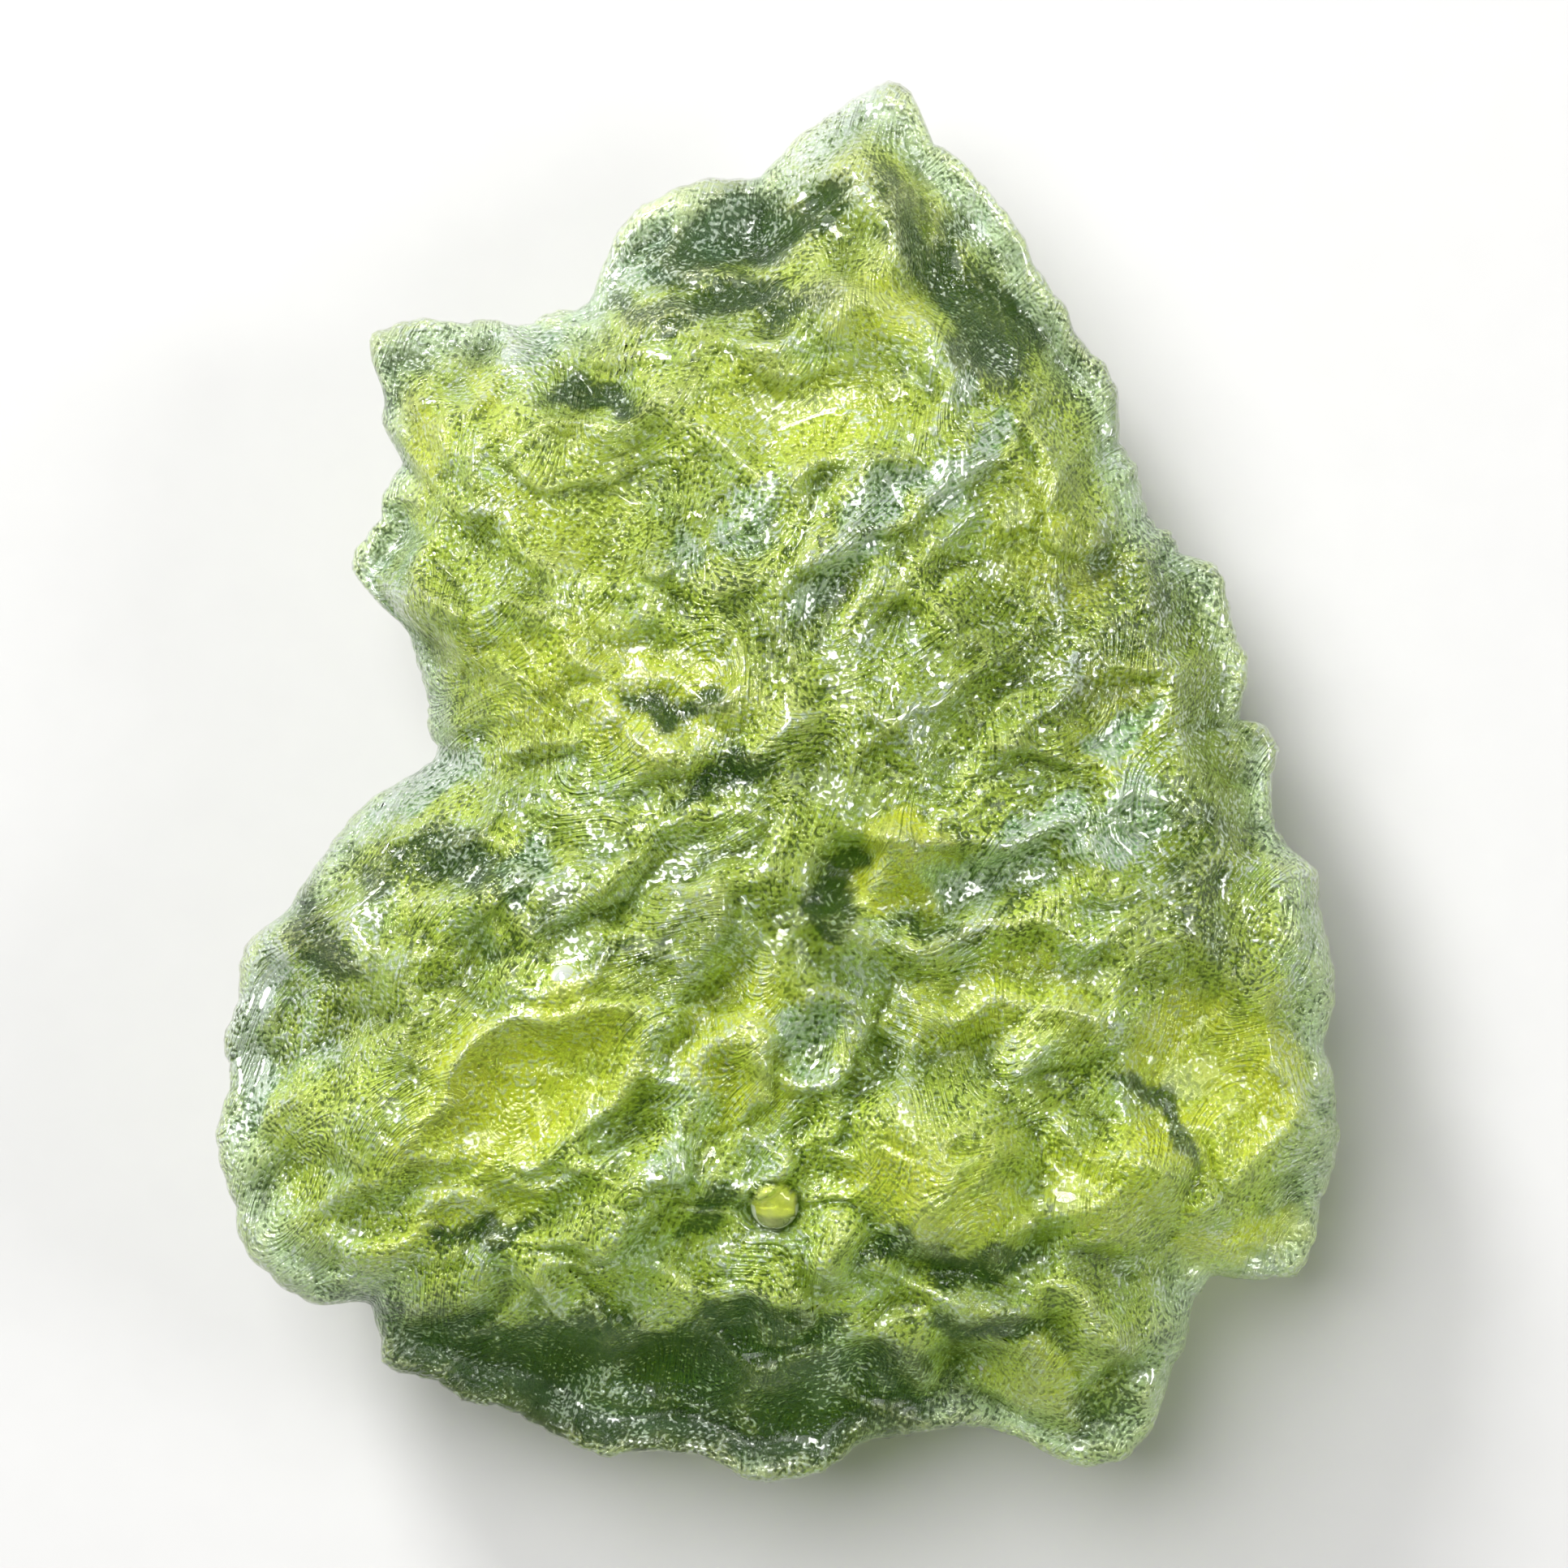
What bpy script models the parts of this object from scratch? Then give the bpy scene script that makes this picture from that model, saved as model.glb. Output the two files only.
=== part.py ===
"""A moldavite: one flat, deeply sculpted piece of green natural glass, lying on its back.

The glass is a lens inside a jagged rim. Its front and back are etched into shell-shaped pits
that meet in sharp ridges, with a few rounded lumps left between them. The back comes down to
one small flat spot, on which the stone rests. X runs across the stone, Y along it, Z up.
"""

import math

import bmesh
import bpy
import numpy as np

MM = 0.001

# Across, along and thick, in mm
STONE_SIZE = (24.0, 30.0, 9.5)

# The lens: its rim, what rises above it and what hangs below it, in mm
RIM_HEIGHT = 3.7
RIM_SWAYS = [(2, 0.6, 0.5), (5, 2.0, 0.3), (9, 4.0, 0.15)]
FRONT_RISE = 4.9
BACK_DROP = 4.1
CROWN_FLATNESS = 2.5
EDGE_CURVE = 0.6
SWIRLS = [(0.17, 1.9), (0.09, 4.3)]
RIM_BAND = 0.07
CLIFF_WIDTH = 0.4
HEART = (0.0, -1.0)

# The flat spot under the stone, in mm
FLAT_SPOT = (0.2, -1.1)
FLAT_REACH = 4.3

# How the mesh is made: cuts along each side of the cube that it starts from, and its last size
CUTS = 89
TRIANGLES = 9400

GLASS_COLOUR = (0.42, 0.52, 0.13, 1.0)
GLASS_ROUGHNESS = 0.2
GLASS_IOR = 1.49

# The rim seen from the front, clockwise from the spire's tip, in mm from the middle of the box
RIM = [
    (2.3, 15.0), (2.7, 14.8), (3.0, 14.3), (3.2, 13.7), (3.75, 13.3), (4.15, 12.85),
    (4.6, 12.3), (5.1, 11.6), (5.3, 11.1), (5.6, 10.6), (6.05, 10.0), (6.25, 9.45),
    (6.6, 9.1), (6.9, 8.8), (7.15, 8.2), (7.2, 7.25), (7.55, 6.7), (7.7, 6.0),
    (7.95, 5.45), (8.3, 5.3), (8.5, 4.85), (9.05, 4.7), (9.35, 4.4), (9.5, 3.7),
    (9.65, 3.05), (9.9, 2.55), (9.8, 1.75), (9.7, 1.35), (10.15, 1.25), (10.45, 0.9),
    (10.55, 0.55), (10.4, 0.1), (10.45, -0.85), (10.85, -1.5), (11.35, -1.9), (11.4, -2.65),
    (11.6, -3.5), (11.75, -4.3), (11.7, -5.0), (11.55, -5.6), (11.8, -6.4), (11.85, -7.1),
    (11.95, -7.6), (11.8, -8.45), (11.55, -9.15), (11.5, -9.75), (11.15, -10.6), (10.85, -10.7),
    (9.85, -10.75), (9.3, -10.65), (8.95, -11.05), (8.75, -11.45), (8.7, -12.0), (8.3, -12.8),
    (8.1, -13.55), (7.7, -14.2), (7.2, -14.6), (6.25, -14.7), (5.55, -14.35), (4.8, -14.0),
    (3.9, -13.85), (2.55, -14.05), (1.75, -14.15), (1.25, -14.55), (0.7, -14.85), (-0.5, -15.0),
    (-1.1, -14.75), (-1.7, -14.45), (-3.0, -14.35), (-3.65, -14.5), (-4.3, -14.3), (-5.2, -13.85),
    (-5.95, -13.45), (-6.75, -13.3), (-7.35, -12.85), (-8.4, -12.5), (-8.5, -11.95), (-8.7, -11.2),
    (-9.0, -11.05), (-9.6, -11.15), (-10.3, -10.9), (-11.0, -10.3), (-11.4, -9.8), (-11.55, -9.0),
    (-11.8, -8.3), (-11.95, -7.5), (-11.8, -6.9), (-11.65, -6.3), (-11.8, -5.5), (-11.5, -4.65),
    (-11.45, -3.75), (-11.1, -3.2), (-10.55, -2.85), (-10.15, -2.2), (-9.7, -1.55), (-9.25, -0.9),
    (-8.7, -0.35), (-7.95, 0.1), (-7.45, 0.45), (-7.35, 0.7), (-7.55, 1.1), (-7.55, 1.75),
    (-7.75, 2.45), (-8.0, 3.25), (-8.6, 3.8), (-9.0, 4.3), (-9.15, 4.7), (-8.9, 5.15),
    (-8.55, 5.6), (-8.45, 6.2), (-8.1, 6.75), (-8.25, 7.15), (-8.5, 7.65), (-8.5, 8.35),
    (-8.75, 9.0), (-8.8, 9.5), (-8.4, 9.75), (-7.7, 9.95), (-6.85, 9.85), (-6.3, 9.95),
    (-5.55, 9.8), (-4.95, 10.1), (-4.25, 10.2), (-4.0, 10.6), (-3.75, 11.3), (-3.35, 12.05),
    (-2.75, 12.5), (-1.65, 12.95), (-0.6, 12.95), (-0.15, 13.3), (0.3, 13.8), (0.95, 14.25),
    (1.65, 14.7),
]

# Broad hollows that leave the middle of the front as a raised field, and the pits on it:
# x, y, half length, half width, turn of the length in degrees, depth, in mm
SKIRT_HOLLOWS = [
    (-3.2, -13.4, 7.2, 2.9, -4, 1.6),
    (4.8, -13.2, 3.4, 2.2, -14, 1.3),
    (4.3, 11.2, 5.2, 1.7, -58, 1.2),
    (-1.6, 11.3, 3.6, 2.4, 8, 0.9),
    (-7.6, 9.0, 1.9, 1.5, 0, 0.8),
    (-9.2, 4.9, 1.6, 3.0, 12, 0.9),
    (9.6, 2.2, 1.6, 5.0, 12, 0.7),
    (-10.4, -6.6, 1.7, 4.0, -6, 0.8),
    (10.6, -9.8, 2.2, 1.6, 20, 0.8),
]
SPIRE_PITS = [
    (1.3, 13.9, 1.2, 0.8, 35, 0.45),
    (3.9, 12.2, 1.8, 0.7, -55, 0.45),
    (2.6, 12.9, 1.1, 0.8, -70, 0.35),
    (-0.8, 11.6, 1.7, 0.8, 12, 0.8),
    (0.8, 12.2, 0.8, 0.55, 10, 0.45),
    (-1.9, 11.2, 0.6, 0.5, 20, 0.5),
    (-3.0, 11.4, 1.0, 0.8, 60, 0.5),
    (1.4, 11.1, 1.1, 0.9, -50, 0.6),
    (3.4, 10.3, 2.6, 1.0, -54, 0.75),
    (5.2, 9.4, 2.3, 0.8, -57, 0.55),
    (-1.8, 10.2, 2.2, 0.6, 4, 0.5),
]
SHOULDER_PITS = [
    (-8.0, 8.8, 1.0, 0.8, 70, 0.5),
    (-6.6, 8.9, 1.0, 0.7, 80, 0.5),
    (-5.9, 7.8, 1.0, 0.55, 80, 0.45),
    (-4.2, 8.2, 1.6, 0.85, -10, 0.75),
    (-4.9, 9.5, 1.4, 0.6, -20, 0.5),
    (-7.4, 7.2, 1.1, 0.6, 60, 0.55),
    (-8.0, 5.2, 0.9, 1.4, 15, 0.7),
    (-7.6, 3.0, 1.3, 0.7, -60, 0.6),
    (-0.2, 9.7, 1.3, 0.5, 5, 0.45),
    (2.9, 8.0, 0.5, 0.4, 0, 0.45),
    (4.6, 7.9, 0.9, 0.6, -60, 0.5),
]
UPPER_BASIN_PITS = [
    (-3.4, 5.9, 3.5, 1.8, 2, 1.1),
    (0.6, 7.7, 2.9, 1.5, 6, 0.85),
    (-6.3, 4.6, 1.4, 1.0, -20, 0.75),
    (-0.6, 5.0, 1.4, 0.7, 50, 0.6),
    (0.9, 5.6, 1.5, 0.6, 48, 0.55),
    (2.3, 6.0, 1.4, 0.5, 45, 0.4),
    (4.4, 4.2, 1.6, 1.3, -30, 0.8),
    (6.4, 6.9, 2.2, 0.9, -62, 0.55),
    (6.6, 4.4, 1.5, 1.0, -50, 0.5),
    (8.4, 3.4, 1.4, 1.0, -75, 0.45),
    (0.8, 3.4, 1.4, 0.8, 60, 0.8),
    (2.5, 2.5, 1.3, 1.0, 40, 0.65),
]
WAIST_PITS = [
    (-5.4, 2.7, 1.9, 0.8, -10, 0.65),
    (-2.8, 2.6, 2.1, 0.9, -18, 0.65),
    (-2.3, 1.5, 1.7, 0.55, -14, 0.6),
    (-4.6, 1.3, 0.6, 0.5, 0, 0.4),
    (-5.9, 0.8, 1.2, 0.6, 20, 0.55),
    (-1.0, 0.1, 1.8, 0.55, 20, 0.55),
    (-2.0, -1.6, 2.3, 0.8, 24, 0.7),
    (-3.6, -2.9, 2.1, 0.7, 30, 0.65),
    (-4.9, -1.3, 0.9, 0.8, 10, 0.6),
    (-7.1, -1.7, 1.7, 0.8, -6, 0.65),
    (-9.1, -2.1, 1.2, 0.7, 55, 0.45),
    (-7.4, -0.2, 1.4, 0.6, 25, 0.5),
    (4.2, 1.5, 1.9, 1.0, 30, 0.75),
    (6.7, 1.4, 1.5, 1.2, 20, 0.7),
    (9.0, 0.6, 1.6, 0.9, -80, 0.45),
    (1.2, -2.0, 0.9, 1.1, 0, 1.0),
    (3.8, -2.1, 2.9, 1.1, 8, 1.0),
    (5.1, -0.3, 2.5, 0.9, 12, 0.75),
    (7.3, -1.3, 1.5, 1.2, 30, 0.6),
    (9.7, -2.6, 2.3, 0.9, -80, 0.5),
]
LOWER_LEFT_PITS = [
    (-4.8, -6.2, 3.2, 1.4, 33, 1.0),
    (-6.6, -4.2, 1.9, 0.9, 70, 0.7),
    (-8.9, -5.3, 1.4, 1.8, -10, 0.7),
    (-10.5, -5.2, 1.0, 1.6, 0, 0.45),
    (-2.9, -7.0, 1.5, 0.9, 50, 0.75),
    (-1.5, -4.7, 2.0, 0.8, 66, 0.85),
    (-1.2, -6.6, 1.6, 0.7, 62, 0.7),
    (-8.1, -8.8, 2.3, 0.8, 24, 0.7),
    (-5.6, -9.0, 2.3, 0.8, 20, 0.75),
    (-10.2, -8.4, 1.3, 0.9, 50, 0.5),
    (-9.6, -10.1, 1.2, 0.6, -25, 0.4),
    (-1.6, -9.3, 2.0, 0.8, 30, 0.8),
    (-3.3, -10.4, 1.7, 0.7, 14, 0.7),
    (-6.2, -10.9, 1.4, 0.6, 40, 0.65),
]
LOWER_RIGHT_PITS = [
    (4.3, -3.9, 3.2, 0.9, 3, 0.75),
    (3.9, -5.3, 1.9, 0.9, 0, 0.6),
    (2.1, -5.2, 0.7, 1.5, 0, 0.8),
    (0.6, -5.3, 0.9, 0.8, 0, 0.5),
    (0.6, -6.9, 0.9, 0.8, 0, 0.55),
    (0.9, -8.3, 0.8, 0.7, 0, 0.5),
    (8.6, -5.7, 2.5, 1.9, -48, 0.95),
    (6.3, -6.3, 1.3, 1.1, -50, 0.6),
    (3.4, -10.2, 1.9, 0.6, -12, 0.65),
    (5.8, -11.4, 1.3, 0.6, -35, 0.55),
    (5.2, -9.9, 0.8, 0.6, -20, 0.6),
    (7.7, -10.4, 1.5, 1.0, 10, 0.5),
    (10.2, -8.8, 1.4, 1.1, 60, 0.5),
    (10.6, -5.0, 0.9, 1.5, 0, 0.4),
]
LOWER_EDGE_PITS = [
    (-0.2, -11.3, 1.6, 0.8, 5, 0.95),
    (2.0, -12.4, 1.2, 0.8, -10, 0.8),
    (4.3, -12.4, 1.6, 0.7, -24, 0.8),
    (7.1, -12.8, 1.3, 0.9, 70, 0.55),
    (-2.1, -12.5, 1.7, 1.0, 10, 0.75),
    (-4.7, -12.4, 1.6, 0.9, 0, 0.6),
    (-7.4, -11.7, 1.1, 0.8, -20, 0.45),
    (0.4, -13.4, 1.3, 0.8, 0, 0.5),
]

# Rounded lumps between the pits, with a height in place of a depth, in mm
LUMPS = [
    (1.5, 9.6, 1.9, 0.7, -12, 0.55),
    (-0.5, 1.5, 0.8, 0.7, 0, 0.45),
    (3.1, 1.8, 1.7, 1.5, 20, 0.6),
    (-4.9, 2.9, 1.7, 0.8, -8, 0.5),
    (-0.1, 1.1, 0.9, 1.1, 0, 0.5),
    (2.3, -1.7, 1.0, 0.8, 20, 0.8),
    (3.2, -8.0, 2.1, 2.0, -20, 1.2),
    (6.7, -8.3, 1.8, 1.5, -25, 1.0),
    (1.3, -9.6, 0.75, 0.75, 0, 0.8),
    (2.2, -10.1, 0.55, 0.5, 0, 0.55),
    (3.8, -10.7, 1.25, 0.6, -8, 0.8),
    (2.6, -12.0, 1.1, 1.0, 0, 0.7),
    (6.4, -11.4, 1.2, 0.9, -40, 0.7),
    (5.3, -12.8, 1.4, 1.1, -30, 0.9),
    (-10.0, -6.8, 0.9, 1.3, -20, 0.35),
]

# Overlapping tongues: each rises along its turn and ends in a small cliff; in mm as the lumps
TONGUES = [
    (-5.1, -6.2, 3.0, 1.5, 28, 0.6),
    (-7.6, -6.0, 2.0, 1.2, 48, 0.45),
    (-1.5, -5.9, 1.7, 1.3, 24, 0.55),
    (-0.9, -7.8, 1.0, 0.8, -10, 0.5),
    (-3.6, -8.2, 1.8, 0.7, 14, 0.4),
    (0.7, -5.3, 0.9, 1.1, -20, 0.55),
    (0.6, -6.8, 1.0, 0.75, -10, 0.5),
    (0.7, -8.1, 1.0, 0.7, -15, 0.5),
    (-1.6, -9.3, 1.1, 0.6, 30, 0.45),
    (-4.2, -9.4, 1.2, 0.6, 20, 0.4),
    (-7.4, -9.2, 1.7, 0.7, 15, 0.4),
    (4.7, -9.0, 0.9, 0.7, -80, 0.4),
    (-4.6, -10.5, 1.2, 0.6, -60, 0.35),
    (-2.6, -10.6, 1.2, 0.7, -80, 0.4),
    (-0.2, -10.6, 1.2, 0.7, -70, 0.45),
    (2.2, 5.9, 1.6, 0.7, -140, 0.4),
    (1.0, 5.0, 0.9, 0.6, -130, 0.4),
    (-2.2, 4.8, 0.9, 0.5, -110, 0.35),
    (0.6, 3.4, 1.2, 0.5, -120, 0.4),
    (-0.7, 4.4, 1.1, 0.5, -125, 0.35),
    (4.3, 3.6, 1.5, 1.0, -150, 0.45),
    (4.4, 7.1, 1.4, 0.6, -130, 0.4),
    (6.2, 5.9, 1.6, 0.8, -120, 0.4),
    (5.9, 1.2, 1.8, 0.9, 190, 0.4),
    (4.6, -0.7, 2.0, 0.8, 190, 0.4),
    (7.4, -1.4, 1.6, 0.9, 195, 0.4),
    (4.6, -3.2, 2.2, 0.8, 185, 0.35),
    (3.4, -4.6, 1.8, 0.9, -160, 0.4),
    (6.0, -5.0, 1.7, 0.9, -150, 0.4),
    (-3.4, 0.6, 1.9, 0.7, -12, 0.4),
    (-5.6, 1.3, 1.6, 0.7, -16, 0.4),
    (-2.2, -1.4, 2.0, 0.7, 22, 0.4),
    (-4.4, -2.3, 1.9, 0.7, 26, 0.4),
    (-6.6, -2.6, 1.7, 0.7, 20, 0.35),
    (-2.3, -3.0, 1.7, 0.7, 24, 0.4),
    (-4.7, -3.9, 1.8, 0.8, 30, 0.4),
    (-7.7, 4.3, 1.4, 0.8, -30, 0.35),
    (-3.3, 7.1, 2.4, 0.9, -168, 0.4),
    (0.6, 9.0, 1.7, 0.6, -170, 0.4),
    (-1.9, 9.7, 1.6, 0.6, -176, 0.35),
    (3.0, 12.0, 1.5, 0.7, -130, 0.35),
]

# Creases on the front: points along each in mm, then its half width and depth
CREASES = [
    ([(6.5, -5.7), (7.8, -7.0), (9.5, -8.6)], 0.35, 0.5),
    ([(1.8, 12.0), (3.2, 10.6), (4.6, 8.8), (5.2, 6.4)], 0.3, 0.35),
    ([(-4.9, 9.0), (-2.6, 8.6), (-0.4, 8.7)], 0.3, 0.4),
    ([(-8.3, -8.3), (-6.6, -7.9), (-4.6, -8.0)], 0.3, 0.35),
    ([(-7.0, -9.9), (-4.0, -9.7), (-1.2, -10.4)], 0.3, 0.35),
]

# Small pits strewn over both faces, drawn out away from one spot: how many, sizes and depths in mm
FLOW_CENTRE = (0.6, -3.2)
FRONT_SPECKLE = {"count": 210, "size": (0.5, 0.95), "depth": (0.2, 0.42), "seed": 7}
BACK_SPECKLE = {"count": 170, "size": (0.9, 2.1), "depth": (0.45, 0.95), "seed": 21}
DRAWN_OUT = 1.5

# How far corners are rounded, as passes of smoothing over the fine mesh
SMOOTHING = 1


def clear_scene():
    for old in list(bpy.data.objects):
        bpy.data.objects.remove(old)


def smooth_loop(points, steps=8):
    """The closed Catmull-Rom curve through the points, with so many steps between two of them."""
    here = np.array(points)
    before = np.roll(here, 1, axis=0)
    after = np.roll(here, -1, axis=0)
    beyond = np.roll(here, -2, axis=0)
    rows = []
    for t in np.linspace(0, 1, steps, endpoint=False):
        cubic = 3 * here - before - 3 * after + beyond
        square = 2 * before - 5 * here + 4 * after - beyond
        rows.append(here + 0.5 * t * (after - before + t * (square + t * cubic)))
    return np.stack(rows, axis=1).reshape(-1, 2)


def rim_reaches(samples=1440, blur=18):
    """The rim's distance from the heart at even angles, as it is and smoothed."""
    loop = smooth_loop(RIM) - np.array(HEART)
    angle = np.arctan2(loop[:, 1], loop[:, 0])
    order = np.argsort(angle)
    even = np.linspace(-math.pi, math.pi, samples, endpoint=False)
    reach = np.interp(even, angle[order], np.hypot(*loop[order].T), period=2 * math.pi)
    window = np.hanning(2 * blur + 1)
    wrapped = np.concatenate([reach[-blur:], reach, reach[:blur]])
    return even, reach, np.convolve(wrapped, window / window.sum(), mode="valid")


def ease(value):
    """0 below 0, 1 above 1, and smooth between."""
    t = np.clip(value, 0, 1)
    return t * t * (3 - 2 * t)


def within(x, y, hollow):
    """0 in the middle of a pit or lump, 1 on its outline, as a share squared."""
    across, along, length, width, turn, _ = hollow
    c = math.cos(math.radians(turn))
    s = math.sin(math.radians(turn))
    u = ((x - across) * c + (y - along) * s) / length
    v = ((y - along) * c - (x - across) * s) / width
    return u * u + v * v


def pitted(x, y, pits):
    """How deep the deepest pit is at each point, which leaves a sharp ridge where two meet."""
    deep = np.zeros_like(x)
    for pit in pits:
        deep = np.maximum(deep, pit[-1] * (1 - within(x, y, pit)))
    return deep


def lumped(x, y, lumps):
    high = np.zeros_like(x)
    for lump in lumps:
        high = np.maximum(high, lump[-1] * (1 - within(x, y, lump)))
    return high


def creased(x, y, creases):
    deep = np.zeros_like(x)
    for points, width, depth in creases:
        for (ax, ay), (bx, by) in zip(points, points[1:]):
            run = (bx - ax) ** 2 + (by - ay) ** 2
            t = np.clip(((x - ax) * (bx - ax) + (y - ay) * (by - ay)) / run, 0, 1)
            away = np.hypot(x - ax - t * (bx - ax), y - ay - t * (by - ay))
            deep = np.maximum(deep, depth * ease(1 - away / width))
    return deep


def strewn_pits(count, size, depth, seed):
    """Small pits spread evenly inside the rim by a sunflower spiral, each a little off its place."""
    chance = np.random.default_rng(seed)
    even, reach, _ = rim_reaches()
    golden = math.pi * (3 - math.sqrt(5))
    pits = []
    for n in range(count):
        angle = (n * golden + chance.normal(0, 0.12) + math.pi) % (2 * math.pi) - math.pi
        share = math.sqrt((n + 0.5) / count)
        far = share * np.interp(angle, even, reach, period=2 * math.pi)
        x = HEART[0] + far * math.cos(angle)
        y = HEART[1] + far * math.sin(angle)
        width = chance.uniform(*size)
        away = math.atan2(y - FLOW_CENTRE[1], x - FLOW_CENTRE[0])
        turn = math.degrees(away) + chance.normal(0, 20)
        pits.append((x, y, width * DRAWN_OUT, width, turn, chance.uniform(*depth)))
    return pits


def tongued(x, y, tongues):
    """How high the highest tongue is: it ramps up along its length and drops at its edge."""
    high = np.zeros_like(x)
    for tongue in tongues:
        across, along, length, _, turn, height = tongue
        c = math.cos(math.radians(turn))
        s = math.sin(math.radians(turn))
        ramp = 0.5 + 0.5 * ((x - across) * c + (y - along) * s) / length
        cliff = ease((1 - within(x, y, tongue)) / CLIFF_WIDTH)
        high = np.maximum(high, height * ramp * cliff)
    return high


def swirled(x, y):
    """Moves each place a little to and fro, so that no pit or tongue keeps an even outline."""
    for far, often in SWIRLS:
        across = far * np.sin(often * y + 0.7 + 1.1 * np.sin(0.6 * often * x))
        along = far * np.sin(0.9 * often * x + 2.1 + 1.3 * np.sin(0.7 * often * y))
        x = x + across
        y = y + along
    return x, y


def front_height(x, y, angle, share):
    """The front's height over the ground, in mm, at places given from the box's middle."""
    x, y = swirled(x, y)
    sway = sum(high * np.sin(waves * angle + start) for waves, start, high in RIM_SWAYS)
    lens = np.clip(1 - share**CROWN_FLATNESS, 0, 1) ** EDGE_CURVE
    pits = (SPIRE_PITS + SHOULDER_PITS + UPPER_BASIN_PITS + WAIST_PITS + LOWER_LEFT_PITS
            + LOWER_RIGHT_PITS + LOWER_EDGE_PITS)
    deep = np.maximum(pitted(x, y, pits), pitted(x, y, strewn_pits(**FRONT_SPECKLE)))
    deep = np.maximum(deep, creased(x, y, CREASES)) + pitted(x, y, SKIRT_HOLLOWS)
    high = np.maximum(lumped(x, y, LUMPS), tongued(x, y, TONGUES))
    inside = ease((1 - share) / RIM_BAND)
    return RIM_HEIGHT + sway * share**3 + FRONT_RISE * lens - inside * (deep - high)


def back_height(x, y, angle, share):
    """The back's height over the ground, in mm."""
    sway = sum(high * np.sin(waves * angle + start) for waves, start, high in RIM_SWAYS)
    rim = RIM_HEIGHT + sway * share**3
    lens = np.clip(1 - share**CROWN_FLATNESS, 0, 1) ** EDGE_CURVE
    around_flat = np.hypot(x - FLAT_SPOT[0], y - FLAT_SPOT[1]) / FLAT_REACH
    deep = pitted(x, y, strewn_pits(**BACK_SPECKLE)) * ease((around_flat - 0.9) / 0.5)
    flat = rim * (1 - lens) + (RIM_HEIGHT - BACK_DROP) * lens
    return np.maximum(flat + deep * ease((1 - share) / RIM_BAND), 0)


def shape_stone(mesh):
    """Turns a sphere of radius 1 into the stone: its equator is the rim."""
    ball = np.empty(len(mesh.vertices) * 3, np.float32)
    mesh.vertices.foreach_get("co", ball)
    ball = ball.reshape(-1, 3).astype(float)
    up = ball[:, 2] / np.linalg.norm(ball, axis=1)
    angle = np.arctan2(ball[:, 1], ball[:, 0])
    share = np.sqrt(np.clip(1 - np.abs(up), 0, 1))

    even, reach, soft = rim_reaches()
    jagged = np.interp(angle, even, reach, period=2 * math.pi)
    inner = np.interp(angle, even, soft, period=2 * math.pi)
    far = share * (inner + (jagged - inner) * share**4)
    x = HEART[0] + far * np.cos(angle)
    y = HEART[1] + far * np.sin(angle)
    front = front_height(x, y, angle, share)
    back = back_height(x, y, angle, share)
    z = np.where(up >= 0, front, back)
    mesh.vertices.foreach_set("co", (np.stack([x, y, z], axis=1) * MM).astype(np.float32).ravel())
    mesh.update()


def round_corners(mesh):
    soft = bmesh.new()
    soft.from_mesh(mesh)
    for _ in range(SMOOTHING):
        bmesh.ops.smooth_vert(soft, verts=soft.verts, factor=0.5, use_axis_x=True,
                              use_axis_y=True, use_axis_z=True)
    soft.to_mesh(mesh)
    soft.free()


def fit_to_size(mesh):
    """Brings the stone to its size, with the middle of its underside at the origin."""
    points = np.empty(len(mesh.vertices) * 3, np.float32)
    mesh.vertices.foreach_get("co", points)
    points = points.reshape(-1, 3)
    low = points.min(axis=0)
    high = points.max(axis=0)
    points = (points - low) / (high - low) - np.array([0.5, 0.5, 0])
    points = points * np.array(STONE_SIZE) * MM
    mesh.vertices.foreach_set("co", points.astype(np.float32).ravel())
    mesh.update()


def glass():
    material = bpy.data.materials.new("moldavite_glass")
    material.use_nodes = True
    shader = material.node_tree.nodes["Principled BSDF"]
    shader.inputs["Base Color"].default_value = GLASS_COLOUR
    shader.inputs["Roughness"].default_value = GLASS_ROUGHNESS
    shader.inputs["Metallic"].default_value = 0.0
    shader.inputs["IOR"].default_value = GLASS_IOR
    shader.inputs["Transmission Weight"].default_value = 1.0
    return material


def make_stone():
    sphere = bmesh.new()
    bmesh.ops.create_cube(sphere, size=2.0)
    bmesh.ops.subdivide_edges(sphere, edges=sphere.edges, cuts=CUTS, use_grid_fill=True)
    bmesh.ops.triangulate(sphere, faces=sphere.faces)
    mesh = bpy.data.meshes.new("moldavite")
    sphere.to_mesh(mesh)
    sphere.free()
    shape_stone(mesh)
    round_corners(mesh)
    fit_to_size(mesh)

    stone = bpy.data.objects.new("moldavite", mesh)
    stone.data.materials.append(glass())
    thinner = stone.modifiers.new("fewer_faces", "DECIMATE")
    thinner.ratio = TRIANGLES / len(mesh.polygons)
    return stone


clear_scene()
collection = bpy.data.collections.new("moldavite")
bpy.context.scene.collection.children.link(collection)
collection.objects.link(make_stone())
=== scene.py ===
# Moldavite: a flat, etched piece of green natural glass, lying on its back on a pale floor.
# X runs across the stone, Y towards the tip of its spire, Z up out of the face that is seen.

import math

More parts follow.
